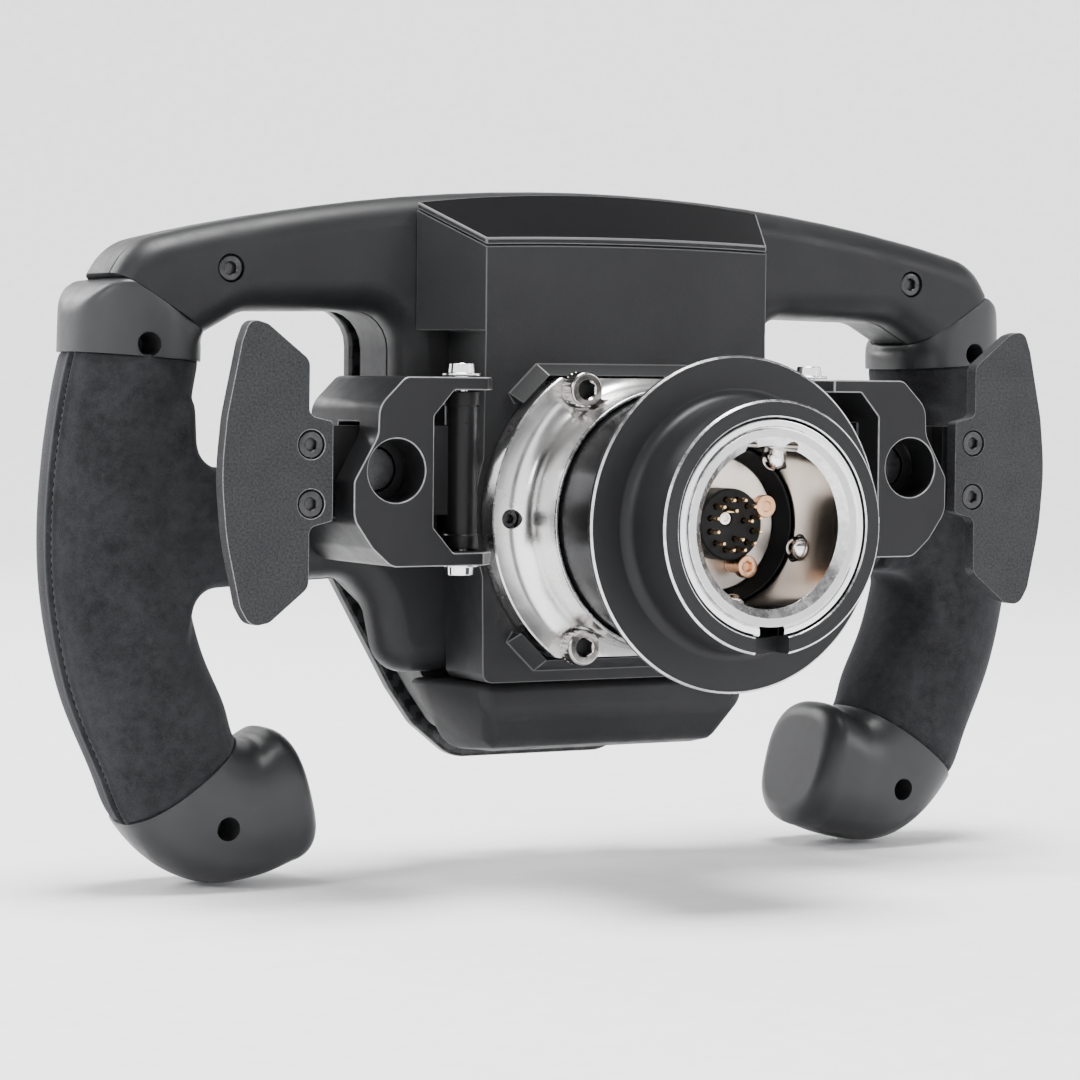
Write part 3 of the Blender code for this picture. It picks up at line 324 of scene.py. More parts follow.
def roundCorners(corners, steps=6):
    # (x, z, radius) corners to a list of points.
    points = []
    for i, (x, z, radius) in enumerate(corners):
        here = Vector((x, z))
        if radius <= 0:
            points.append((x, z))
            continue
        before = Vector(corners[i - 1][:2]) - here
        after = Vector(corners[(i + 1) % len(corners)][:2]) - here
        half = before.angle(after) / 2
        if half > math.radians(89.5):
            points.append((x, z))
            continue
        reach = min(radius / math.tan(half), before.length * 0.49, after.length * 0.49)
        centre = here + (before.normalized() + after.normalized()).normalized() * reach / math.cos(half)
        start = here + before.normalized() * reach - centre
        turn = start.angle_signed(here + after.normalized() * reach - centre)
        for k in range(steps + 1):
            spoke = start.copy()
            spoke.rotate(Matrix.Rotation(-turn * k / steps, 2))
            points.append(tuple(centre + spoke))
    return points


def bothSides(half):
    return half + [(-c[0], *c[1:]) for c in reversed(half) if abs(c[0]) > 0.01]


def onSide(points, side):
    return [(side * p[0], *p[1:]) for p in points]


def shrunk(loop, amount):
    # The loop moved into its own material.
    count = len(loop)
    area = sum(loop[i - 1][0] * loop[i][1] - loop[i][0] * loop[i - 1][1] for i in range(count))
    turn = 1 if area > 0 else -1
    moved = []
    for i in range(count):
        a, b, c = (Vector(loop[j % count]) for j in (i - 1, i, i + 1))
        first, second = (b - a).normalized(), (c - b).normalized()
        inward = Vector((-first.y - second.y, first.x + second.x)) * turn
        if inward.length < 1e-6:
            inward = Vector((-first.y, first.x)) * turn
        inward.normalize()
        lean = max(0.35, inward.dot(Vector((-first.y, first.x)) * turn))
        moved.append(tuple(b + inward * amount / lean))
    return moved


def toolObject(name, mesh):
    mesh.transform(Matrix.Scale(mm, 4))
    piece = bpy.data.objects.new(name, mesh)
    workshop.objects.link(piece)
    return piece


def fromBmesh(name, work):
    bmesh.ops.recalc_face_normals(work, faces=work.faces)
    mesh = bpy.data.meshes.new(name)
    work.to_mesh(mesh)
    work.free()
    return toolObject(name, mesh)


def skin(rings, work):
    # Joins rings of the same count of points and closes the first and the last.
    count = len(rings[0])
    for a, b in zip(rings, rings[1:]):
        for k in range(count):
            n = (k + 1) % count
            work.faces.new((a[k], a[n], b[n], b[k]))
    work.faces.new(rings[0])
    work.faces.new(reversed(rings[-1]))


def knurledRing(work, centre, radius, knurl, count):
    # A ring of points whose every other pair lies deeper by knurl.
    ring = []
    for i in range(count):
        angle = 2 * math.pi * i / count
        reach = radius - (knurl if i % 4 < 2 else 0)
        x, z = centre[0] + reach * math.cos(angle), centre[2] + reach * math.sin(angle)
        ring.append(work.verts.new((x, centre[1], z)))
    return ring


def loft(name, rings, work):
    skin(rings, work)
    return fromBmesh(name, work)


def rimSlab(name, loop, front, rear, frontEdge=(0.5, 0.5), rearEdge=(0.5, 0.5), steps=4):
    # A plate whose edges are quarter rounds. An edge is (how far in, how deep).
    levels = []
    for k in range(steps + 1):
        angle = math.pi / 2 * k / steps
        levels.append((frontEdge[0] * (1 - math.sin(angle)), front + frontEdge[1] * (1 - math.cos(angle))))
    for k in range(steps + 1):
        angle = math.pi / 2 * (1 - k / steps)
        levels.append((rearEdge[0] * (1 - math.sin(angle)), rear - rearEdge[1] * (1 - math.cos(angle))))
    levels = [level for k, level in enumerate(levels) if k == 0 or level != levels[k - 1]]
    work = bmesh.new()
    rings = [[work.verts.new((x, y, z)) for x, z in shrunk(loop, inset)] for inset, y in levels]
    return loft(name, rings, work)


def boxTool(name, low, high):
    work = bmesh.new()
    size = [b - a for a, b in zip(low, high)]
    centre = [(a + b) / 2 for a, b in zip(low, high)]
    bmesh.ops.create_cube(work, size=1, matrix=Matrix.Translation(centre) @ Matrix.Diagonal((*size, 1)))
    return fromBmesh(name, work)


def rodTool(name, start, end, radius, sides=32, farRadius=None):
    along = Vector(end) - Vector(start)
    turn = along.to_track_quat("Z", "Y").to_matrix().to_4x4()
    place = Matrix.Translation((Vector(start) + Vector(end)) / 2) @ turn
    far = radius if farRadius is None else farRadius
    work = bmesh.new()
    bmesh.ops.create_cone(work, cap_ends=True, segments=sides, radius1=radius, radius2=far,
                          depth=along.length, matrix=place)
    return fromBmesh(name, work)


def hullTool(name, points):
    work = bmesh.new()
    for point in points:
        work.verts.new(point)
    bmesh.ops.convex_hull(work, input=work.verts)
    bmesh.ops.delete(work, geom=[v for v in work.verts if not v.link_faces], context="VERTS")
    bmesh.ops.dissolve_limit(work, angle_limit=0.002, verts=work.verts, edges=work.edges)
    return fromBmesh(name, work)


def turned(name, corners, steps=96, centre=(0, 0, 0), axis="Y", arcSteps=3):
    # A turned solid from closed (radius, height, corner radius, finish, edge finish) corners.
    points, marks = [], []
    for i, corner in enumerate(corners):
        r, h, radius = corner[:3]
        face = corner[3] if len(corner) > 3 else 0
        edge = corner[4] if len(corner) > 4 else face
        sub = roundCorners([corners[i - 1][:2] + (0,), (r, h, radius),
                            corners[(i + 1) % len(corners)][:2] + (0,)], arcSteps)[1:-1]
        points += sub
        marks += [edge] * (len(sub) - 1) + [face]
    work = bmesh.new()
    rings = []
    for r, h in points:
        if r < 1e-6:
            rings.append([work.verts.new((0, h, 0))])
        else:
            rings.append([work.verts.new((r * math.cos(2 * math.pi * k / steps), h,
                                          r * math.sin(2 * math.pi * k / steps)))
                          for k in range(steps)])
    for i, mark in enumerate(marks):
        a, b = rings[i], rings[(i + 1) % len(rings)]
        if len(a) == 1 and len(b) == 1:
            continue
        for k in range(steps):
            n = (k + 1) % steps
            if len(a) == 1:
                face = work.faces.new((a[0], b[k], b[n]))
            elif len(b) == 1:
                face = work.faces.new((a[k], a[n], b[0]))
            else:
                face = work.faces.new((a[k], a[n], b[n], b[k]))
            face.material_index = mark
    if axis == "Z":
        bmesh.ops.rotate(work, verts=work.verts, cent=(0, 0, 0),
                         matrix=Matrix.Rotation(math.pi / 2, 3, "X"))
    bmesh.ops.translate(work, verts=work.verts, vec=centre)
    return fromBmesh(name, work)


def combine(piece, tools, operation):
    for tool in tools:
        joined = piece.modifiers.new(tool.name, "BOOLEAN")
        joined.operation, joined.object, joined.solver = operation, tool, "EXACT"
    return piece


def cut(piece, *tools):
    return combine(piece, tools, "DIFFERENCE")


def add(piece, *tools):
    return combine(piece, tools, "UNION")


def softEdges(piece, width, steps=3, angle=40, finishIndex=-1):
    while len(piece.data.materials) <= finishIndex:
        piece.data.materials.append(None)  # the bevel needs the slot to be there
    bevel = piece.modifiers.new("softEdges", "BEVEL")
    bevel.width, bevel.segments = width * mm, steps
    bevel.limit_method, bevel.angle_limit = "ANGLE", math.radians(angle)
    bevel.use_clamp_overlap = True
    bevel.material = finishIndex
    bevel.miter_outer = "MITER_ARC"
    return piece


def settled(piece):
    # The piece with its modifiers made real.
    bpy.context.view_layer.update()
    mesh = bpy.data.meshes.new_from_object(piece.evaluated_get(bpy.context.evaluated_depsgraph_get()))
    old = piece.data
    piece.modifiers.clear()
    piece.data = mesh
    bpy.data.meshes.remove(old)
    return piece


def show(piece, name, finishNames, body="body", stands=(), sharp=38):
    # Turns a shape from the workshop into a finished piece of the wheel.
    settled(piece)
    piece.name = name
    workshop.objects.unlink(piece)
    bpy.context.scene.collection.objects.link(piece)
    names = [finishNames] if isinstance(finishNames, str) else finishNames
    marks = [min(face.material_index, len(names) - 1) for face in piece.data.polygons]
    piece.data.materials.clear()
    for finishName in names:
        piece.data.materials.append(finishes[finishName])
    piece.data.polygons.foreach_set("material_index", marks)
    piece.data.shade_smooth()
    piece.data.set_sharp_from_angle(angle=math.radians(sharp))
    even = piece.modifiers.new("evenShade", "WEIGHTED_NORMAL")
    even.keep_sharp = True
    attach(piece, body)
    if stands:
        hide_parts(*stands)
    return piece


def joinedTool(name, tools):
    # Several shapes as one, without a Boolean.
    work = bmesh.new()
    for tool in tools:
        settled(tool)
        work.from_mesh(tool.data)
        bpy.data.objects.remove(tool)
    mesh = bpy.data.meshes.new(name)
    work.to_mesh(mesh)
    work.free()
    piece = bpy.data.objects.new(name, mesh)
    workshop.objects.link(piece)
    return piece


def remeshed(piece, voxel, smoothing, factor=0.5):
    # Melts joined shapes into one skin with soft creases.
    settled(piece)
    melt = piece.modifiers.new("melt", "REMESH")
    melt.mode, melt.voxel_size, melt.adaptivity = "VOXEL", voxel * mm, 0.0
    ease = piece.modifiers.new("ease", "SMOOTH")
    ease.factor, ease.iterations = factor, smoothing
    return settled(piece)


# Body: arms, spokes and legs

body = {"plateFront": -116.0, "plateRear": -112.0, "shellFront": -111.7, "split": -93.15,
        "shellRear": -84.0, "topZ": 78.3, "topRadius": 480.0, "windowTop": 47.9, "windowBottom": 11.3,
        "windowInner": 50.6, "spokeBottom": -16.8, "armLine": ((122.0, 56.3), (100.0, 42.7)),
        "spokeEnd": 87.7}
armScrew = {"x": 95.4, "z": 57.7, "head": 3.05, "seat": 3.35, "outer": -84.4}


def topEdge(x, drop=0.0):
    return body["topZ"] - drop - (body["topRadius"] - math.sqrt(body["topRadius"] ** 2 - x * x))


def armHalf(flank, drop=0.0):
    # Half the outline, run on past the arm's end and the spoke's end, which are cut later.
    corners = [(x, topEdge(x, drop), 0) for x in (0, 12, 24, 36, 48, 60, 72, 84, 96, 104)]
    corners += [(117.6, 63.6 - drop * 0.7, 14), (129.0, 44.7, 8.7), (114.0, 34.9, 8.7),
                (90.4, body["windowTop"], 12)]
    corners += [(body["windowInner"], body["windowTop"] + 0.7, 9),
                (body["windowInner"], body["windowBottom"], 9)]
    return corners + [(104.0, body["windowBottom"], 8.7), (104.0, body["spokeBottom"], 8.7)] + flank


def endCutters(gap=0.15):
    tools = []
    for side, word in sides:
        (xo, zo), (xi, zi) = body["armLine"]
        down = Vector((zo - zi, -(xo - xi))).normalized()
        a, b = Vector((xo, zo)) + down * gap, Vector((xi, zi)) + down * gap
        along = (a - b).normalized() * 30
        loop = [a + along, b - along, b - along + down * 30, a + along + down * 30]
        tools.append(hullTool(word + "ArmEnd", [(side * p.x, y, p.y) for p in loop for y in (-130, -70)]))
        x = sorted((side * body["spokeEnd"], side * 110))
        tools.append(boxTool(word + "SpokeEnd", (x[0], -130, -30), (x[1], -70, 25)))
    return tools


def makeBody():
    rearFlank = [(63.0, -14.6, 9), (57.2, -21.0, 10), (53.5, -38.0, 9)]
    frontFlank = [(58.6, -15.0, 7), (50.6, -22.5, 4), (37.2, -44.0, 5), (31.0, -52.6, 7), (21.0, -57.2, 6)]
    plateFlank = [(60.5, -13.2, 5), (55.2, -16.5, 3), (39.5, -44.0, 6), (33.0, -53.0, 9), (22.0, -61.8, 10)]
    opening = roundCorners(bothSides([(34, 56, 6), (34, -50, 0)]))

    rear = rimSlab("rearShell", roundCorners(bothSides(armHalf(rearFlank))), body["split"] + 0.2,
                   body["shellRear"], (0.35, 0.35), (7.2, 7.6), 9)
    cut(rear, rimSlab("rearOpening", opening, -100, -80, (0, 0), (0, 0), 1), *endCutters())
    for side, word in sides:
        x, z = side * armScrew["x"], armScrew["z"]
        cut(rear, rodTool(word + "ScrewSeat", (x, armScrew["outer"] - 2.0, z), (x, -80, z),
                          armScrew["seat"], 40))
    softEdges(rear, 0.35, 2, 50)
    show(rear, "rearShell", "shell", stands=("rear_shell",))

    front = rimSlab("frontShell", roundCorners(bothSides(armHalf(frontFlank, 0.3))), body["shellFront"],
                    body["split"] - 0.2, (4.2, 6.0), (0.35, 0.35), 7)
    pocket = roundCorners(bothSides([(42, 65, 4), (43, 42, 6), (43, -10, 8), (33, -42, 5), (22, -50, 5)]))
    cut(front, rimSlab("shellPocket", pocket, body["shellFront"] + 3, -88, (0, 0), (0, 0), 1),
        *endCutters())
    softEdges(front, 0.3, 2, 50)
    show(front, "frontShell", "shell", stands=("front_shell",))

    corners = [(x, topEdge(x, 1.0), 0) for x in (0, 12, 24, 36, 48, 60, 72, 84)]
    corners += [(94.5, topEdge(94, 1.0), 5), (91.5, 48.4, 4),
                (body["windowInner"] + 0.6, body["windowTop"] + 1.6, 9)]
    corners += [(body["windowInner"] + 0.6, 10.5, 8), (84.5, 10.5, 4), (84.5, -16.2, 4)]
    plate = rimSlab("frontPlate", roundCorners(bothSides(corners + plateFlank)), body["plateFront"],
                    body["plateRear"], (0.9, 0.9), (0.9, 0.9), 4)
    holes = []
    for x, z in buttonPlaces:
        holes.append(rodTool("hole", (x, -120, z), (x, -105, z), 5.9, 48))
    for word, x, z, radius in knobPlaces:
        holes.append(rodTool("hole", (x, -120, z), (x, -105, z), 3.3, 32))
    for z, (wide, high) in ((26.0, (54.0, 28.0)), (61.0, (84.0, 7.0))):
        w, h = wide / 2 + 0.3, high / 2 + 0.3
        loop = roundCorners([(w, z + h, 2), (w, z - h, 2), (-w, z - h, 2), (-w, z + h, 2)])
        holes.append(rimSlab("panelHole", loop, -120, -105, (0, 0), (0, 0), 1))
    for x, z in plateScrews:
        holes.append(rodTool("hole", (x, -115.0, z), (x, -120, z), 2.9, 32))
    cut(plate, *holes)
    softEdges(plate, 0.3, 2, 50)
    plate = show(plate, "frontPlate", ["plate", "plateEdgeHighlight"], stands=("front_plate",))
    # Side walls of the plate and its holes take the lighter finish, a painted edge highlight
    for face in plate.data.polygons:
        if abs(face.normal.y) < 0.3:
            face.material_index = 1
    print("body made")


# Front controls

buttonPlaces = ((-42, 46), (42, 46), (-46, 20), (46, 20), (-40, -6), (40, -6))
knobPlaces = (("left", -22, -28, 8.5), ("right", 22, -28, 8.5), ("centre", 0, -45, 7.0))
plateScrews = [(s * x, z) for s in (1, -1) for x, z in ((88, 63), (76, -3), (14, -57), (50, 66))]
buttonCaps = ("redCap", "blueCap", "greyCap", "greyCap", "blueCap", "redCap")
button = {"top": -119.4, "radius": 5.5, "neck": -116.6, "stem": 3.4, "end": -111.65}
bezel = {"bore": 5.85, "radius": 7.6, "front": -116.9, "rear": -116.05}
knob = {"face": -128.0, "points": 96, "depth": 0.35}


def makeControls():
    for k, (x, z) in enumerate(buttonPlaces):
        top, radius, stem = button["top"], button["radius"], button["stem"]
        cap = turned("button", [(0, top + 0.35, 0), (3.4, top + 0.35, 0.4), (4.1, top, 0.3),
                                (radius, top, 0.7), (radius, button["neck"], 0), (4.1, button["neck"], 0),
                                (stem, -113.2, 0), (stem, button["end"], 0), (0, button["end"], 0)], 48,
                     (x, 0, z))
        show(cap, f"buttonCap{k + 1}", buttonCaps[k], f"button_cap_{k + 1}",
             (f"button_{k + 1}",))
        ring = turned("bezel", [(bezel["bore"], bezel["front"], 0.2),
                                (bezel["radius"] - 0.4, bezel["front"], 0.4),
                                (bezel["radius"], bezel["rear"], 0.1), (bezel["bore"], bezel["rear"], 0)],
                      56, (x, 0, z))
        show(ring, f"buttonBezel{k + 1}", "blackSteel")
    for word, x, z, radius in knobPlaces:
        face, count, depth = knob["face"], knob["points"], knob["depth"]
        work = bmesh.new()
        levels = ((face, radius - 1.5, 0), (face, radius - 1.0, 0), (face + 0.9, radius - 0.3, depth - 0.1),
                  (face + 1.4, radius - 0.1, depth), (-118.2, radius - 0.1, depth), (-117.6, radius, 0),
                  (-116.6, radius, 0))
        rings = []
        for y, r, knurl in levels:
            rings.append(knurledRing(work, (x, y, z), r, knurl, count))
        dial = loft(word + "Knob", rings, work)
        low, high = (x - 0.6, face - 1, z + radius * 0.3), (x + 0.6, face + 0.7, z + radius + 1)
        cut(dial, boxTool("knobMark", low, high))
        add(dial, rodTool("knobShaft", (x, -117, z), (x, -106, z), 3.0, 32))
        softEdges(dial, 0.2, 2, 60)
        show(dial, word + "Knob", "knob", word + "_dial", (word + "_knob",))
        marks = []
        for i in range(11):  # dial ticks
            angle = math.radians(-60 + 30 * i)
            tick = boxTool("tick", (-0.2, -116.12, 0), (0.2, -115.98, 1.6 if i % 5 == 0 else 1.0))
            place, turn = Matrix.Translation(Vector((x, 0,
                                                     z)) * mm), Matrix.Rotation(-angle + math.pi / 2, 4, "Y")
            tick.data.transform(place @ turn @ Matrix.Translation((0, 0, (radius + 1.6) * mm)))
            marks.append(tick)
        show(joinedTool("ticks", marks), word + "KnobTicks", "greyCap")

    screenLoop = roundCorners([(27, 40, 2), (27, 12, 2), (-27, 12, 2), (-27, 40, 2)])
    screen = rimSlab("screen", screenLoop, -116.3, -112.0, (0.4, 0.4), (0.1, 0.1), 3)
    show(screen, "displayWindow", "screen", stands=("display_window",))
    frameLoop = roundCorners([(28.6, 41.6, 3), (28.6, 10.4, 3), (-28.6, 10.4, 3), (-28.6, 41.6, 3)])
    surround = rimSlab("surround", frameLoop, -117.2, -116.05, (0.6, 0.6), (0, 0), 3)
    cut(surround, rimSlab("surroundHole", shrunk(frameLoop, 2.4), -119, -114, (0, 0), (0, 0), 1))
    softEdges(surround, 0.25, 2, 50)
    show(surround, "displaySurround", "darkPlastic")
    barLoop = roundCorners([(42, 64.5, 2), (42, 57.5, 2), (-42, 57.5, 2), (-42, 64.5, 2)])
    bar = rimSlab("bar", barLoop, -116.5, -112.0, (0.4, 0.4), (0.1, 0.1), 3)
    lamps = []
    for i in range(12):
        x = -35.75 + 6.5 * i
        cut(bar, rodTool("lampWell", (x, -115.9, 61), (x, -118, 61), 2.2, 32))
        lamps.append(turned("lamp", [(0, -117.0, 0), (1.2, -116.9, 0.5), (2.0, -116.2, 0.3),
                                     (2.0, -115.6, 0), (0, -115.6, 0)],
                            24, (x, 0, 61)))
    show(bar, "revLightBar", "gloss", stands=("rev_light_bar",))
    show(joinedTool("lamps", lamps), "revLamps", "lamp")
    screws = [socketScrew("plateScrew", (x, -115.35, z), 2.6, 1.5, 1.3, 0.9, 1.4, 2.0, towards=-1)
              for x, z in plateScrews]
    show(joinedTool("plateScrews", screws), "plateScrews", "blackSteel")
    show(boxTool("board", (-44, -103.6, -38), (44, -102.0, 56)), "circuitBoard", "board",
         stands=("main_board",))
    print("controls made")


def socketScrew(name, head, headRadius, headHeight, socketRadius, socketDepth, shankRadius, shankLength,
                towards=1, soft=0.35):
    # A socket screw whose head faces +Y (towards=1) or -Y. head is the middle of its outer face.
    x, y, z = head
    t = towards
    screw = turned(name, [(0, y, 0), (headRadius, y, soft), (headRadius, y - t * headHeight, 0.05),
                          (shankRadius, y - t * headHeight, 0),
                          (shankRadius, y - t * (headHeight + shankLength), 0.1),
                          (0, y - t * (headHeight + shankLength), 0)], 48, (x, 0, z))
    cut(screw, rodTool("socket", (x, y + t * 1.0, z), (x, y - t * socketDepth, z), socketRadius, 6),
        rodTool("socketLead", (x, y + t * 0.2, z), (x, y - t * 0.35, z), socketRadius * 1.15, 24,
                socketRadius * 0.8))
    softEdges(screw, 0.08, 1, 45)
    return settled(screw)


makeBody()
makeControls()


# Handles

handle = {"centreY": -101.0, "seamY": -97.6, "topSeam": 2, "lowSeam": 9.12}
# (x, z, slope in degrees, half width, half depth) from the arm's end to the tip
handlePath = (
    (110.6, 49.6, -70, 14.4, 14.6), (113.0, 42.5, -79, 15.2, 16.6), (113.9, 36.9, -86, 15.5, 17.0),
    (115.8, 27.0, -83, 15.7, 17.0), (117.6, 12.0, -86, 16.2, 17.0), (118.4, -5.0, -92, 16.5, 17.0),
    (117.0, -21.0, -98, 16.7, 17.0), (113.0, -37.0, -108, 17.0, 17.0), (106.6, -51.5, -118, 17.2, 17.0),
    (103.0, -60.9, -124, 17.0, 17.0), (96.8, -67.2, -142, 17.6, 17.0), (90.2, -69.9, -160, 17.8, 17.0),
    (83.2, -69.0, -177, 17.0, 17.0), (77.4, -66.9, -190, 16.3, 16.6))


def eased(a, b, c, d, t):
    # A smooth value between b and c.
    second, third = 2 * a - 5 * b + 4 * c - d, 3 * b - a - 3 * c + d
    return 0.5 * (2 * b + (c - a) * t + second * t * t + third * t ** 3)


def pathAt(s):
    # The handle's station at a fractional index.
    i = max(0, min(len(handlePath) - 2, int(s)))
    t = s - i
    rows = [handlePath[max(0, min(len(handlePath) - 1, j))] for j in (i - 1, i, i + 1, i + 2)]
    return [eased(*(row[n] for row in rows), t) for n in range(5)]


def sectionRing(work, x, z, slope, halfWidth, halfDepth, side, centreY, power=0.86, count=56):
    across = Vector((math.sin(math.radians(slope)), 0, -math.cos(math.radians(slope))))
    ring = []
    for k in range(count):
        angle = 2 * math.pi * k / count
        wide = math.copysign(abs(math.cos(angle)) ** power, math.cos(angle)) * halfWidth
        deep = math.copysign(abs(math.sin(angle)) ** power, math.sin(angle)) * halfDepth
        point = Vector((x, centreY + deep, z)) + across * wide
        ring.append(work.verts.new((side * point.x, point.y, point.z)))
    return ring


relax = {"frames": 8, "pressure": 4.0, "quality": 4, "cap": 0.55}  # the cap is how far a point may move
web = {"front": -112.5, "rear": -85.0, "edge": (3.5, 6.0)}


def gripPad(side, word):
    # Foam under suede: one skin with its web to the spoke, a groove along the sewn seam.
    work = bmesh.new()
    rings = []
    steps = 46
    first, last = handle["topSeam"], handle["lowSeam"]
    for k in range(steps + 1):
        s = first + (last - first) * k / steps
        x, z, slope, wide, deep = pathAt(s)
        if k in (0, steps):  # the ends run on a little, into the caps' mouths
            push = -0.6 if k == 0 else 0.6
            x += push * math.cos(math.radians(slope))
            z += push * math.sin(math.radians(slope))
        rings.append(sectionRing(work, x, z, slope, wide - 0.1, deep - 0.1, side, handle["centreY"]))
    pad = loft("pad", rings, work)
    corners = [(88.0, 11.0, 0.5), (101.4, 11.4, 6.5), (102.0, 27, 0), (112, 30, 0), (112, -34, 0),
               (103.6, -31, 0), (101.8, -16.8, 6.5), (88.0, -16.4, 0.5)]
    arm = rimSlab("web", onSide(roundCorners(corners, 8), side), web["front"], web["rear"], web["edge"],
                  web["edge"], 6)
    melted = remeshed(add(pad, arm), 1.1, 5)
    clothed = swell(melted, relax["cap"])
    more = clothed.modifiers.new("finer", "SUBSURF")
    more.levels = more.render_levels = 1
    settled(clothed)
    settleSeam(clothed, side)
    piece = show(clothed, word + "GripSuede", "suede", stands=(word + "_grip_pad",), sharp=80)
    return piece


def swell(piece, cap):
    # Lets the padded skin relax under a little pressure, and keeps each point within cap of its place.
    before = [v.co.copy() for v in piece.data.vertices]
    cloth = piece.modifiers.new("relax", "CLOTH")
    cloth.settings.use_pressure = True
    cloth.settings.uniform_pressure_force = relax["pressure"]
    cloth.settings.effector_weights.gravity = 0.0
    cloth.settings.quality = relax["quality"]
    cloth.collision_settings.use_collision = False
    scene = bpy.context.scene
    cloth.point_cache.frame_start, cloth.point_cache.frame_end = 1, relax["frames"]
    for number in range(1, relax["frames"] + 1):
        scene.frame_set(number)
    settled(piece)
    scene.frame_set(1)
    for v, place in zip(piece.data.vertices, before):
        shift = v.co - place
        if shift.length > cap * mm:
            shift *= cap * mm / shift.length
        v.co = place + shift
    return piece


def seamPoint(s, side):
    # The sewn line, just behind the handle's widest point, and the way out from it.
    x, z, slope, wide, deep = pathAt(s)
    across = Vector((math.sin(math.radians(slope)), 0, -math.cos(math.radians(slope))))
    out = Vector((x, handle["seamY"], z)) - across * wide * 0.989
    return Vector((side * out.x, out.y, out.z)), Vector((-side * across.x, 0.12, -across.z)).normalized()


def settleSeam(piece, side):
    first, last = handle["topSeam"], handle["lowSeam"]
    line = [seamPoint(first + (last - first) * k / 160, side)[0] for k in range(161)]
    for v in piece.data.vertices:
        p = v.co / mm
        if abs(p.y - handle["seamY"]) > 4 or side * p.x < 95:
            continue
        near = min(line, key=lambda q: (q.x - p.x) ** 2 + (q.z - p.z) ** 2)
        if (near - Vector((p.x, near.y, p.z))).length > 5:
            continue
        off = p.y - handle["seamY"]
        groove = -0.8 * math.exp(-(off / 0.5) ** 2) + 0.35 * math.exp(-((abs(off) - 1.6) / 0.9) ** 2)
        v.co += v.normal * groove * mm


def seamStitches(side, word):
    # Short thread stitches that lie across the groove.
    work = bmesh.new()
    first, last, count = handle["topSeam"] + 0.08, handle["lowSeam"] - 0.07, 64
    for k in range(count):
        s = first + (last - first) * (k + 0.5) / count
        here, out = seamPoint(s, side)
        ahead = seamPoint(s + 0.02, side)[0]
        run = (ahead - here).normalized()
        for row in (-1, 1):
            centre = here + out * -0.12 + Vector((0, row * 1.25, 0))
            half = run * 0.62
            rings = []
            for t, r in ((-1, 0.05), (-0.8, 0.14), (0, 0.19), (0.8, 0.14), (1, 0.05)):
                at = centre + half * t + out * (0.16 * (1 - t * t))
                ring = []
                for j in range(6):
                    angle = 2 * math.pi * j / 6
                    spoke = out * (r * math.cos(angle)) + Vector((0, r * math.sin(angle), 0))
                    ring.append(work.verts.new(at + spoke))
                rings.append(ring)
            skin(rings, work)
    show(fromBmesh("stitches", work), word + "GripStitches", "thread", sharp=80)


def topCap(side, word):
    # A hood over the handle that melts into a neck along the arm's cut end, then is cut flush at both joints.
    work = bmesh.new()
    rings = []
    for k in range(25):
        s = -1.6 + (handle["topSeam"] + 2.4) * k / 24
        x, z, slope, wide, deep = pathAt(handle["topSeam"])
        rise = (handle["topSeam"] - s) * 8
        rings.append(sectionRing(work, x - 0.03 * rise, z + rise, slope, wide + 0.3, 17.15, side,
                                 handle["centreY"], 0.80))
    hood = loft("hood", rings, work)
    crest = [(130.2, 42.5), (129.4, 47.0), (127.6, 50.6), (124.8, 53.3), (121.2, 55.0), (116.0, 54.6),
             (95.0, 37.6)]
    for (xa, za), (xb, zb) in zip(crest, crest[1:]):
        run = Vector((xa - xb, za - zb)).normalized() * 30
        points = [(xa + run.x, za + run.y), (xb - run.x, zb - run.y)]
        points += [(points[1][0] - run.y * 2, points[1][1] + run.x * 2),
                   (points[0][0] - run.y * 2, points[0][1] + run.x * 2)]
        cut(hood, hullTool("hoodTop", [(side * x, y, z) for x, z in points for y in (-130, -70)]))
    settled(hood)

    (xo, zo), (xi, zi) = body["armLine"]
    down = Vector((zo - zi, -(xo - xi))).normalized()
    out = Vector((xo - xi, zo - zi)).normalized()
    outer, inner = Vector((xo, zo)) - out * 2.2, Vector((xi, zi)) - out * 0.1
    work = bmesh.new()
    rings = []
    for t in range(11):
        top = outer + down * (-5 + 20 * t / 10) - out * max(0.0, t - 2) * 1.6
        low = inner + down * (-5 + 17 * t / 10) + out * max(0.0, t - 4) * 0.35
        middle, half = (top + low) / 2, (top - low) / 2
        ring = []
        for k in range(72):
            c, d = math.cos(2 * math.pi * k / 72), math.sin(2 * math.pi * k / 72)
            point = middle + half * math.copysign(abs(c) ** 0.36, c)
            ring.append(work.verts.new((side * point.x, -98.3 + math.copysign(abs(d) ** 0.36, d) * 13.1,
                                        point.y)))
        rings.append(ring)
    neck = loft("neck", rings, work)
    cap = remeshed(add(neck, hood), 0.6, 40)

    a, b = Vector((xo, zo)) + down * 0.3, Vector((xi, zi)) + down * 0.3
    past = [a + out * 30, b - out * 30, b - out * 30 - down * 40, a + out * 30 - down * 40]
    x, z, slope, wide, deep = pathAt(handle["topSeam"])
    along = Vector((math.cos(math.radians(slope)), math.sin(math.radians(slope))))
    across = Vector((-along.y, along.x))
    here = Vector((x, z)) - along * 0.1
    below = [here + across * 40, here - across * 40, here - across * 40 + along * 30,
             here + across * 40 + along * 30]
    tools = [hullTool("jointEnd", [(side * p.x, y, p.y) for p in corners for y in (-130, -70)])
             for corners in (past, below)]
    cut(cap, *tools, capHole(side, 115.7, 39.9))
    # The bevel faces take the lighter second finish, a painted edge highlight
    softEdges(cap, 0.2, 2, 55, 1)
    show(cap, word + "TopCap", ["cap", "capEdgeHighlight"], stands=(word + "_grip_top_cap",),
         sharp=60)


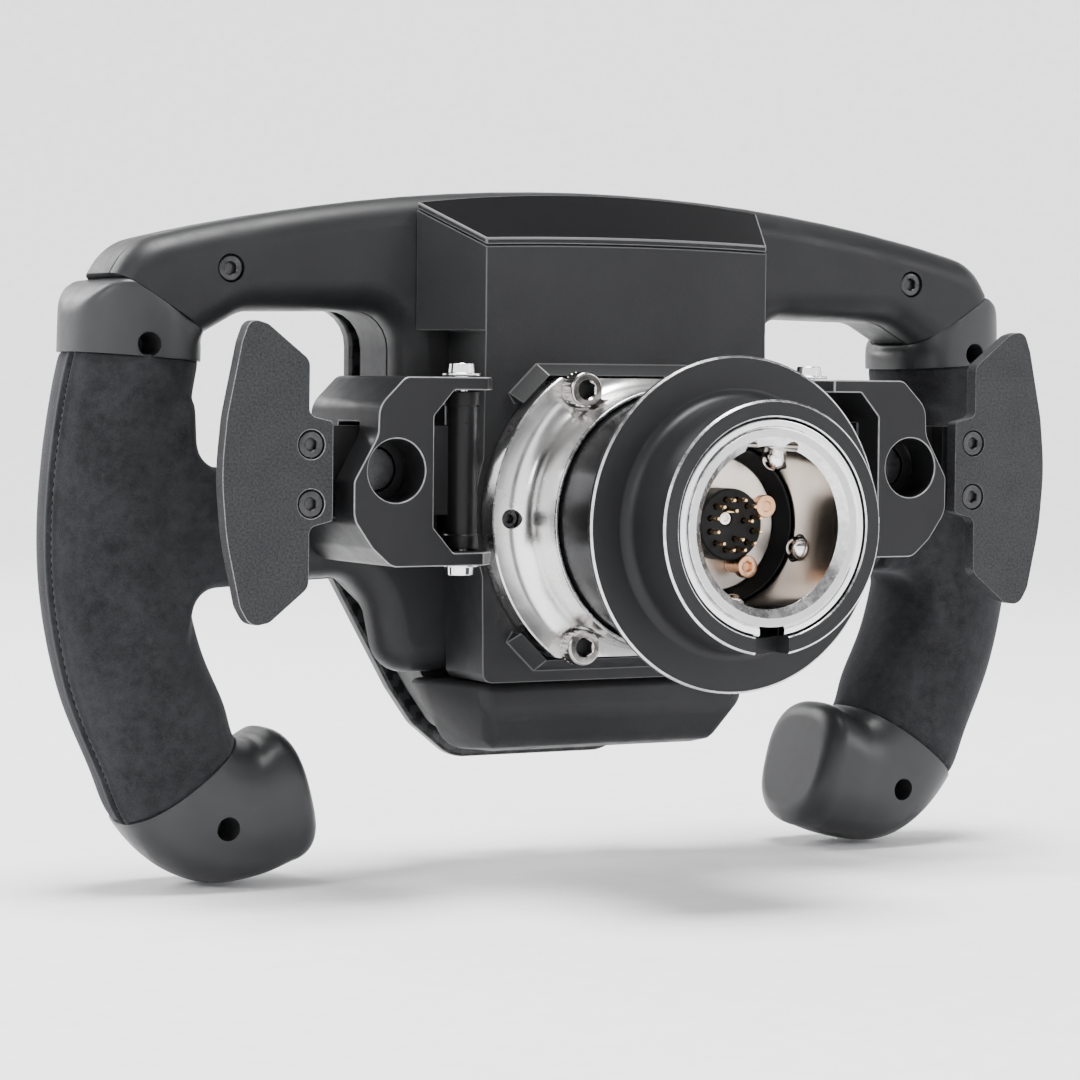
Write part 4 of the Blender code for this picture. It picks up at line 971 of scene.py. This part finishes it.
def capHole(side, x, z):
    # The screw hole from behind.
    return rodTool("capHole", (side * x, -95, z), (side * x, -70, z), 2.85, 40)


def bottomCap(side, word):
    # The foot of the handle curls in and up, and closes with a soft edge around a flatter end.
    work = bmesh.new()
    rings = []
    start, last = handle["lowSeam"], len(handlePath) - 1
    for k, s in enumerate([start + 0.02, start + 0.03] + [start + 0.1 + (last - start - 0.1) * k / 34
                                                          for k in range(35)]):
        x, z, slope, wide, deep = pathAt(s)
        trim = 0.35 if k == 0 else 0.0
        power = 0.86 - 0.12 * min(1.0, (s - start) / 3.0)
        rings.append(sectionRing(work, x, z, slope, wide + 0.1 - trim, deep + 0.1 - trim, side,
                                 handle["centreY"], power, 80))
    x, z, slope, wide, deep = handlePath[-1]
    for k in range(1, 11):
        turn = math.radians(9 * k)
        ahead, trim = 5.6 * math.sin(turn), 5.6 * (1 - math.cos(turn))
        bend = slope - 6 * k / 10
        rings.append(sectionRing(work, x + ahead * math.cos(math.radians(slope)),
                                 z + ahead * math.sin(math.radians(slope)), bend, wide + 0.1 - trim,
                                 deep + 0.1 - trim, side, handle["centreY"], 0.74, 80))
    cap = loft("cap", rings, work)
    cut(cap, capHole(side, 95.2, -72.6))
    # The bevel faces take the lighter second finish, a painted edge highlight
    softEdges(cap, 0.2, 2, 55, 1)
    show(cap, word + "BottomCap", ["cap", "capEdgeHighlight"], stands=(word + "_grip_bottom_cap",),
         sharp=60)


def capPartLines(side, word):
    # The dark line where each cap's two halves meet, in line with the suede's seam.
    for which, first, last in (("Top", 0.9, handle["topSeam"] - 0.05),
                               ("Bottom", handle["lowSeam"] + 0.05, 12.0)):
        work = bmesh.new()
        rings = []
        for k in range(31):
            s = first + (last - first) * k / 30
            here, out = seamPoint(s, side)
            at = here + out * 0.02
            rings.append([work.verts.new(at + out * a + Vector((0, b, 0)))
                          for a, b in ((0, -0.14), (0.03, 0), (0, 0.14), (-0.6, 0.14), (-0.6, -0.14))])
        show(loft("line", rings, work), f"{word}{which}CapLine", "socket")


for side, word in sides:
    gripPad(side, word)
    seamStitches(side, word)
    topCap(side, word)
    bottomCap(side, word)
    capPartLines(side, word)
    place = (side * armScrew["x"], armScrew["outer"], armScrew["z"])
    screw = socketScrew("armScrew", place, armScrew["head"], 1.9, 1.6, 1.3, 1.5, 3.0, soft=0.45)
    show(screw, word + "ArmScrew", "blackSteel", stands=(word + "_arm_screw",))
print("handles made")


# Rear housing, top panel and lower cover

housing = {"half": 38.8, "flare": 47.6, "front": -83.7, "rear": -65.0, "top": 65.6, "flareTop": 76.4,
           "foot": 44.0, "bottom": -39.0, "boss": 41.5, "panel": 1.6}


def crownPoints(lift, steps=12):
    pairs = []
    for k in range(steps + 1):
        share = 2 * k / steps - 1
        arch = 1 - share * share
        rear = (share * housing["half"], housing["rear"], housing["top"] + 0.7 * arch - lift)
        front = (share * housing["flare"], housing["front"], housing["flareTop"] - 2.0 + 3.0 * arch - lift)
        pairs.append((rear, front))
    return pairs


def makeHousing():
    boss = [(housing["boss"] * math.cos(a / 27), housing["boss"] * math.sin(a / 27), 0)
            for a in range(9, -10, -1)]
    right = [(34.0, 58.0, 0), (34.0, 46.0, 0), (housing["half"], housing["foot"], 0), *boss,
             (housing["half"], housing["bottom"], 2.5)]
    block = rimSlab("rearHousing", roundCorners(bothSides(right), 4), housing["front"], housing["rear"],
                    (0, 0), (0, 0), 1)
    crown = [p for pair in crownPoints(housing["panel"] + 0.35) for p in pair]
    for s in (1, -1):
        crown += [(s * housing["half"], housing["rear"], housing["foot"]),
                  (s * housing["flare"], housing["front"], housing["foot"])]
    add(block, hullTool("crown", crown))
    for z in (1, -1):
        rear, foot = housing["rear"], housing["rear"] - 1.5
        outer, inner = ((32.6, 29.3), (25.3, 36.3)), ((30.8, 27.0), (23.9, 33.6))
        for s in (1, -1):
            wing = [(s * x, y, z * w) for x, w in outer for y in (rear + 0.4, foot)]
            wing += [(s * x, y, z * w) for x, w in inner for y in (rear + 4.2, foot)]
            add(block, hullTool("lipWing", wing))
        bar = [(s * outer[1][0], y, z * outer[1][1]) for s in (1, -1) for y in (rear + 0.4, foot)]
        bar += [(s * inner[1][0], y, z * inner[1][1]) for s in (1, -1) for y in (rear + 4.2, foot)]
        add(block, hullTool("lipBar", bar))
    cut(block, rodTool("hubWay", (0, -80, 0), (0, -60, 0), 20, 64))
    # The bevel faces take the lighter second finish, a painted edge highlight
    softEdges(block, 0.55, 3, 24, 1)
    show(block, "rearHousing", ["housing", "housingEdgeHighlight"], stands=("rear_housing",),
         sharp=50)

    work = bmesh.new()
    rings = []
    for (rearTop, frontTop), (rearLow, frontLow) in zip(crownPoints(0, 16),
                                                        crownPoints(housing["panel"], 16)):
        rings.append([work.verts.new(p) for p in (rearTop, frontTop, frontLow, rearLow)])
    panel = loft("topPanel", rings, work)
    # The panel's bevel faces take the lighter second finish, a painted edge highlight
    softEdges(panel, 0.4, 3, 30, 1)
    show(panel, "topPanel", ["gloss", "capEdgeHighlight"], stands=("top_panel",), sharp=50)

    top = housing["bottom"] - 0.3
    points = [(36.5, -69.0, top), (35.0, -68.6, -47.0), (31.0, -74.0, -55.2), (28.0, -80.0, -56.8),
              (45.0, -92.85, top), (34.0, -92.85, -56.8), (44.0, -86.0, top), (41.0, -86.0, -46.0)]
    cover = hullTool("lowerCover", [(s * x, y, z) for s in (1, -1) for x, y, z in points])
    softEdges(cover, 2.6, 6, 18)
    show(cover, "lowerCover", "housing", stands=("lower_cover",), sharp=60)
    print("housing made")


# Quick release

bolts = {"angles": (60, 120, 240, 300), "circle": 35.0, "face": -58.9}
flange = {"flat": 33.0, "face": -59.0}
lockBalls = {"count": 5, "y": -17.1, "circle": 18.9, "radius": 3.1, "way": 3.4}


def around(radius, degrees, y=0.0):
    return Vector((radius * math.cos(math.radians(degrees)), y, radius * math.sin(math.radians(degrees))))


def knurledBolt(x, z):
    # A socket bolt with a knurled head that stands on the flange.
    low, high, radius, count = bolts["face"], bolts["face"] + 5.0, 4.25, 96
    work = bmesh.new()
    rings = []
    for y, r, knurl in ((low, radius - 0.25, 0), (low + 0.25, radius, 0.0), (low + 0.7, radius, 0.0),
                        (low + 0.8, radius, 0.16), (high - 1.0, radius, 0.16), (high - 0.9, radius, 0.0),
                        (high - 0.5, radius - 0.02, 0.0), (high - 0.15, radius - 0.28, 0),
                        (high, radius - 0.6, 0)):
        rings.append(knurledRing(work, (x, y, z), r, knurl, count))
    bolt = loft("bolt", rings, work)
    socket = rodTool("socket", (x, high + 1, z), (x, high - 2.6, z), 2.35, 6)
    lead = rodTool("socketLead", (x, high + 0.3, z), (x, high - 0.6, z), 2.75, 32, 1.9)
    cut(bolt, socket, lead)
    add(bolt, rodTool("shank", (x, low + 1, z), (x, -73, z), 2.4, 24))
    softEdges(bolt, 0.1, 2, 50)
    settled(bolt)
    for face in bolt.data.polygons:  # the hexagon and the floor of the socket get near-black, painted shade inside the recess
        away = math.hypot(face.center.x / mm - x, face.center.z / mm - z)
        face.material_index = int(away < 2.36 and low < face.center.y / mm < high - 0.35)
    return bolt


def makeHub():
    bend = [(36 + 5 * math.cos(math.radians(a)), -54 + 5 * math.sin(math.radians(a)), 0, 0)
            for a in range(180, 271, 9)]
    profile = [(18.4, -26.8, 0, 2), (18.4, -1.7, 0.1, 3), (20.4, -0.15, 0.12, 1, 3), (22.3, 0, 0.14, 3),
               (22.3, -0.5, 0, 1), (21.6, -0.5, 0, 1), (21.6, -2.9, 0, 1), (22.3, -2.9, 0, 0),
               (22.3, -57, 0, 1), (30.2, -57, 0, 1), (30.2, -44.9, 0.15, 3), (30.75, -44.9, 0.1, 3),
               (31.0, -45.3, 0, 0), *bend, (39.4, -59.0, 0.05, 3), (39.7, -59.35, 0.05, 0),
               (39.7, -64.7, 0.2, 0), (8, -64.7, 0, 0), (8, -26.8, 0, 0)]
    hub = turned("hub", profile, 144)
    for z in (1, -1):
        ends = sorted((z * flange["flat"], z * (flange["flat"] + 12)))
        cut(hub, boxTool("flat", (-45, -67, ends[0]), (45, -45, ends[1])))
    for degrees in bolts["angles"]:
        at = around(bolts["circle"], degrees)
        cut(hub, rodTool("seat", at + Vector((0, flange["face"], 0)), at + Vector((0, -51, 0)), 4.9, 64))
    for degrees in (0, 180):
        at = around(bolts["circle"], degrees)
        cut(hub, rodTool("grub", at + Vector((0, -63, 0)), at + Vector((0, -57, 0)), 2.35, 40))
    for degrees in (73.5, 106.5):
        at = around(18.4, degrees)
        cut(hub, rodTool("notch", at + Vector((0, -9, 0)), at + Vector((0, 2, 0)), 1.7, 32))
    deep = Vector((0, lockBalls["y"], 0))
    for k in range(lockBalls["count"]):
        out = around(1, 270 + 72 * k)
        cut(hub, rodTool("ballWay", out * 14 + deep, out * 26 + deep, lockBalls["way"], 40))
    softEdges(hub, 0.22, 2, 50, 3)
    # The bore's warm tint is partly nickel and partly painted reflection
    show(hub, "releaseHub", ["hub", "hubMouth", "bore", "rim"], stands=("qr_hub",),
         sharp=35)

    for k, degrees in enumerate(bolts["angles"]):
        at = around(bolts["circle"], degrees)
        show(knurledBolt(at.x, at.z), f"flangeBolt{k + 1}", ["boltSteel", "socket"],
             stands=(f"flange_bolt_{k + 1}",))
    grubs = []
    for degrees in (0, 180):
        at = around(bolts["circle"], degrees)
        grubs.append(socketScrew("grub", (at.x, -59.7, at.z), 2.1, 2.4, 1.15, 1.4, 1.9, 0.6, soft=0.25))
    show(joinedTool("grubs", grubs), "grubScrews", "blackSteel")

    for k in range(lockBalls["count"]):
        place = Matrix.Translation(around(lockBalls["circle"], 270 + 72 * k, lockBalls["y"]))
        work = bmesh.new()
        bmesh.ops.create_uvsphere(work, u_segments=40, v_segments=24, radius=lockBalls["radius"],
                                  matrix=place)
        show(fromBmesh("ball", work), f"lockBall{k + 1}", "chrome", f"ball_{k + 1}",
             (f"lock_ball_{k + 1}",))


def makeCollar():
    bend = [(31.8 + 3 * math.cos(math.radians(a)), -12.3 + 3 * math.sin(math.radians(a)), 0, 0)
            for a in range(180, 262, 9)]
    profile = [(24.9, -0.3, 0.05, 1), (25.2, 0, 0.05, 0), (28.35, 0, 0.06, 1), (28.8, -0.45, 0.05, 0),
               *bend, (38.15, -15.3, 0.06, 1), (38.6, -15.7, 0.06, 0), (38.6, -16.6, 0.1, 1),
               (38.2, -17.0, 0.1, 2), (33.5, -19.5, 1.0, 2), (30.4, -21.5, 1.0, 2), (29.6, -24.0, 1.5, 2),
               (29.6, -49.2, 0.1, 1), (29.3, -49.5, 0.05, 2), (27.5, -49.5, 0.1, 0), (27.5, -21.5, 0, 0),
               (22.6, -21.5, 0, 0), (22.6, -17.1, 0, 0), (25.2, -10.1, 0, 0), (25.2, -5, 0, 0),
               (22.6, -5, 0, 0), (22.6, -3, 0, 0), (24.9, -3, 0, 0)]
    collar = turned("collar", profile, 160)
    cut(collar, boxTool("notch", (-4.5, -6, -32), (4.5, 2, -20)))
    softEdges(collar, 0.15, 2, 50, 1)
    show(collar, "releaseCollar", ["collar", "rim", "sleeve"], "collar", ("qr_collar",),
         sharp=35)
    profile = [(21.9, -0.75, 0.2), (22.7, -0.6, 0.2), (23.0, -0.3, 0.2), (24.2, -0.3, 0.3),
               (24.6, -0.8, 0.2), (24.6, -2.7, 0.2), (21.9, -2.7, 0.2)]
    ring = turned("ring", profile, 128)
    cut(ring, boxTool("gap", (-3.3, -4, -31), (3.3, 3, -15)))
    softEdges(ring, 0.18, 2, 50)
    show(ring, "retainingRing", "chrome", stands=("qr_retaining_ring",))


def makeConnector():
    cup = turned("cup", [(18.1, -20.6, 0.15), (18.1, -26.5, 0), (15.9, -26.5, 0), (15.9, -24.9, 0.1),
                         (17.6, -20.6, 0.15)], 96)
    show(cup, "connectorCup", "darkPlastic", stands=("connector_cup",))
    disc = turned("disc", [(0, -24.9, 0), (15.3, -24.9, 0), (15.6, -25.2, 0), (15.6, -26.5, 0),
                           (0, -26.5, 0)], 96)
    cut(disc, boxTool("slot", (10.4, -26, -1.0), (13.4, -24, 1.0)))
    softEdges(disc, 0.1, 2, 50)
    show(disc, "connectorDisc", "paleDisc", stands=("connector_plate",))
    block = turned("block", [(0, -18.0, 0), (8.3, -18.0, 0.6), (8.3, -24.6, 0.1), (0, -24.6, 0)], 72)
    holes, pins = [], []
    spots = [around(5.9, 30 * k + 15) for k in range(12)] + [around(3.4, 90 * k + 75) for k in range(3)]
    for at in spots:
        holes.append(rodTool("pinHole", at + Vector((0, -19.4, 0)), at + Vector((0, -17, 0)), 0.75, 20))
        pins.append(turned("pin", [(0, -14.05, 0), (0.42, -14.05, 0.3), (0.5, -15.2, 0.1), (0.5, -19.4, 0),
                                   (0, -19.4, 0)], 20,
                           (at.x, 0, at.z)))
    cut(block, *holes, rodTool("screwSeat", (1.5, -19.2, 1.4), (1.5, -17, 1.4), 1.75, 32))
    softEdges(block, 0.12, 2, 50)
    show(block, "connectorBlock", "darkPlastic", stands=("connector_block",))
    show(joinedTool("pins", pins), "contactPins", "gold")
    heads = [socketScrew("centreScrew", (1.5, -18.1, 1.4), 1.55, 1.0, 0.8, 0.7, 0.9, 1.0, soft=0.3)]
    show(joinedTool("centreScrew", heads), "connectorScrew", "chrome")
    posts = []
    for x, z in ((-9.0, 4.1), (-4.2, -9.7)):
        posts.append(socketScrew("post", (x, -17.2, z), 2.6, 2.2, 1.3, 1.2, 1.7, 5.4, soft=0.3))
    show(joinedTool("posts", posts), "connectorPosts", "copper")
    print("quick release made")


# Shifters

hinge = {"x": 48.0, "y": -59.5, "pin": 1.8}
magnet = {"x": 70.5, "z": 11.8, "radius": 5.0, "seat": 5.3, "stopWay": 7.25}
paddleScrews = ((90.9, 17.7), (90.9, 4.4))


def makeShifter(side, word):
    moving = word + "_shifter"
    corners = [(43.8, 33.1, 1.0), (68.3, 33.1, 3), (75.0, 26.5, 6), (75.2, 19.8, 6), (81.2, 9.4, 3),
               (81.2, 0.8, 6), (76.5, -5.8, 5), (71.6, -10.1, 4), (43.8, -10.1, 1.0), (43.8, -7.1, 0),
               (55.8, -7.1, 1), (61.0, -1.2, 1), (61.0, 24.2, 1), (55.8, 30.1, 1), (43.8, 30.1, 0)]
    bracket = rimSlab("bracket", onSide(roundCorners(corners, 7), side), -83.7, -48.0, (0, 0), (0, 0), 1)
    across = sorted((side * 40, side * 95))
    tools = [boxTool("leverRoom", (across[0], -69, 0.3), (across[1], -58, 22.7)),
             rodTool("stopWay", (side * magnet["x"], -60, magnet["z"]),
                     (side * magnet["x"], -45, magnet["z"]), magnet["stopWay"], 64),
             rodTool("pinWay", (side * hinge["x"], hinge["y"], -15), (side * hinge["x"], hinge["y"], 38),
                     hinge["pin"], 24),
             hullTool("earCorner", [(side * x, y, z) for z in (-12, 35)
                                    for x, y in ((43, -47), (48.6, -47.4), (43, -53))])]
    cut(bracket, *tools)
    # The bevel faces take the light second finish, a painted edge highlight
    softEdges(bracket, 0.3, 2, 45, 1)
    show(bracket, word + "ShifterBracket", ["bracket", "bracketEdgeHighlight"],
         stands=(word + "_shifter_bracket",), sharp=50)

    at = (side * hinge["x"], hinge["y"], 0)
    bolt = turned("hingeBolt", [(0, 36.3, 0), (2.9, 36.3, 0.3), (3.15, 34.1, 0.05), (4.5, 34.0, 0.25),
                                (4.5, 33.35, 0.1), (1.5, 33.35, 0), (1.5, -10.3, 0), (4.3, -10.3, 0.1),
                                (4.3, -10.9, 0.2), (3.1, -10.95, 0), (3.0, -12.9, 0.3), (0, -12.9, 0)],
                  48, at, "Z")
    cut(bolt, rodTool("socket", (*at[:2], 38), (*at[:2], 34.6), 1.5, 6),
        rodTool("socket2", (*at[:2], -14), (*at[:2], -11.6), 1.5, 6))
    softEdges(bolt, 0.1, 2, 50)
    show(bolt, word + "HingeBolt", "chrome", stands=(word + "_hinge_bolt",))

    ends = sorted((side * 50, side * 96.0))
    lever = boxTool("lever", (ends[0], -64.5, 1.2), (ends[1], -58.8, 21.8))
    ends = sorted((side * 84.5, side * 96.0))
    barrel = turned("barrel", [(1.8, 29.8, 0), (4.2, 29.8, 0.3), (4.2, 26.6, 0.2), (3.9, 26.3, 0.1),
                               (3.9, -3.3, 0.1), (4.2, -3.6, 0.2), (4.2, -6.8, 0.3), (1.8, -6.8, 0)], 56,
                    at, "Z")
    add(lever, barrel, boxTool("pad", (ends[0], -60.8, 1.2), (ends[1], -54.3, 21.8)))
    x, z = side * magnet["x"], magnet["z"]
    cut(lever, rodTool("boreAgain", (*at[:2], -8), (*at[:2], 31), hinge["pin"], 24),
        rodTool("magnetSeat", (x, -62, z), (x, -50, z), magnet["seat"], 48))
    softEdges(lever, 0.35, 3, 45)
    show(lever, word + "ShifterLever", "lever", moving, (word + "_shifter_lever",), 50)
    disc = turned("magnet", [(0, -59.0, 0), (magnet["radius"], -59.0, 0.4), (magnet["radius"], -61.7, 0.2),
                             (0, -61.7, 0)],
                  48, (x, 0, z))
    show(disc, word + "ShifterMagnet", "blackSteel", moving, (word + "_shifter_magnet",))

    edge = [(85.5, 22.9, 1), (91.4, 24.2, 2), (91.3, 36.6, 3), (101.6, 44.6, 3), (106.0, 45.8, 3.5),
            (108.0, 40.5, 5), (111.5, 24.0, 30), (112.8, 11.2, 60), (111.5, -3.5, 60), (108.2, -18.5, 5),
            (105.6, -22.9, 4), (101.0, -22.1, 3), (91.4, -14.4, 3), (91.3, -0.9, 2), (85.5, 0.5, 1)]
    paddle = rimSlab("paddle", onSide(roundCorners(edge, 8), side), -54.0, -50.0, (0.5, 0.5), (0, 0), 3)
    seats = []
    for x, z in paddleScrews:
        seats.append(rodTool("way", (side * x, -67, z), (side * x, -45, z), 1.9, 24))
        seats.append(rodTool("seat", (side * x, -51.9, z), (side * x, -45, z), 3.35, 48))
    cut(paddle, *seats)
    # The bevel faces take the lighter second finish, a painted edge highlight
    softEdges(paddle, 0.5, 3, 55, 1)
    show(paddle, word + "Paddle", ["paddle", "paddleEdgeHighlight"], moving, (word + "_paddle",), 50)
    for k, (x, z) in enumerate(paddleScrews):
        screw = socketScrew("paddleScrew", (side * x, -50.15, z), 3.0, 1.4, 1.55, 1.2, 1.6, 12.0, soft=0.3)
        show(screw, f"{word}PaddleScrew{k + 1}", "blackSteel", moving,
             (f"{word}_paddle_bolt_{k + 1}",))


makeHousing()
makeHub()
makeCollar()
makeConnector()
for side, word in sides:
    makeShifter(side, word)
print("shifters made")

leftOver = {"grip_core": "darkPlastic", "shifter_switch": "darkPlastic", "qr_spring": "steel"}
for name, node in frame["nodes"].items():
    for ending, finishName in leftOver.items():
        if name.endswith(ending):
            node.material_slots[0].material = finishes[finishName]

for tool in list(workshop.objects):
    bpy.data.objects.remove(tool)
bpy.data.collections.remove(workshop)


# Stage

bowl = {"flat": 1.5, "sweep": 0.8, "points": 90}  # in metres, a round floor that sweeps up all the way round
studioLights = (("keyLight", (1.5, 0.3, 0.8), 12, 0.5), ("fillLight", (-1.2, 1.1, 0.7), 9, 0.6),
                ("topLight", (0.0, -0.1, 2.2), 150, 1.2), ("frontLight", (0.5, -1.3, 0.8), 14, 0.7))
view = {"place": (0.4359, 0.6730, 0.0350), "right": (-0.8732703, 0.4871377, 0.0097898),
        "up": (-0.0146901, -0.0464071, 0.9988146), "back": (0.4870145, 0.8720913, 0.0476820),
        "lens": 119.136}


def stage():
    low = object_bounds()[0][2]
    white = newFinish("backdrop", (0.86, 0.86, 0.87), 0.75)
    paper = cloud(white, objectPlace(white), 140.0, 5.0)
    feed(white, "Base Color", mixedColour(white, paper.outputs["Fac"], (0.84, 0.84, 0.85),
                                          (0.88, 0.88, 0.89)))
    feed(white, "Normal", bumped(white, paper.outputs["Fac"], 0.05, 0.0002))
    work = bmesh.new()
    flat, sweep, count = bowl["flat"], bowl["sweep"], bowl["points"]
    rows = [(flat * k / 6, 0.0) for k in range(1, 7)]
    for k in range(1, 16):
        lift = math.radians(6 * k)
        rows.append((flat + sweep * math.sin(lift), sweep * (1 - math.cos(lift))))
    rows.append((flat + sweep, sweep + 0.5))
    rings = []
    for r, z in rows:
        turns = [2 * math.pi * k / count for k in range(count)]
        rings.append([work.verts.new((r * math.cos(a), r * math.sin(a), low - 0.0006 + z)) for a in turns])
    for a, b in zip(rings, rings[1:]):
        for k in range(count):
            n = (k + 1) % count
            work.faces.new((a[k], a[n], b[n], b[k]))
    work.faces.new(rings[0])
    mesh = bpy.data.meshes.new("floor")
    bmesh.ops.recalc_face_normals(work, faces=work.faces)
    work.to_mesh(mesh)
    work.free()
    mesh.shade_smooth()
    mesh.materials.append(white)
    floor = bpy.data.objects.new("floor", mesh)
    bpy.context.scene.collection.objects.link(floor)
    floor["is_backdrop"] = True

    world = bpy.data.worlds.new("studio")
    world.use_nodes = True
    world.node_tree.nodes["Background"].inputs["Color"].default_value = (1.0, 1.0, 1.0, 1)
    world.node_tree.nodes["Background"].inputs["Strength"].default_value = 0.22
    bpy.context.scene.world = world
    for name, place, power, size in studioLights:
        lamp = bpy.data.lights.new(name, "AREA")
        lamp.energy, lamp.shape, lamp.size = power, "DISK", size
        light = bpy.data.objects.new(name, lamp)
        light.location = place
        light.rotation_euler = (Vector((0, -0.06, 0)) - Vector(place)).to_track_quat("-Z", "Y").to_euler()
        bpy.context.scene.collection.objects.link(light)

    lens = bpy.data.cameras.new("camera")
    lens.lens, lens.sensor_width, lens.clip_start = view["lens"], 36.0, 0.01
    camera = bpy.data.objects.new("camera", lens)
    columns = [view[key] for key in ("right", "up", "back", "place")]
    camera.matrix_world = Matrix([[column[i] for column in columns] for i in range(3)] + [[0, 0, 0, 1]])
    bpy.context.scene.collection.objects.link(camera)
    bpy.context.scene.camera = camera


stage()
print("stage made")
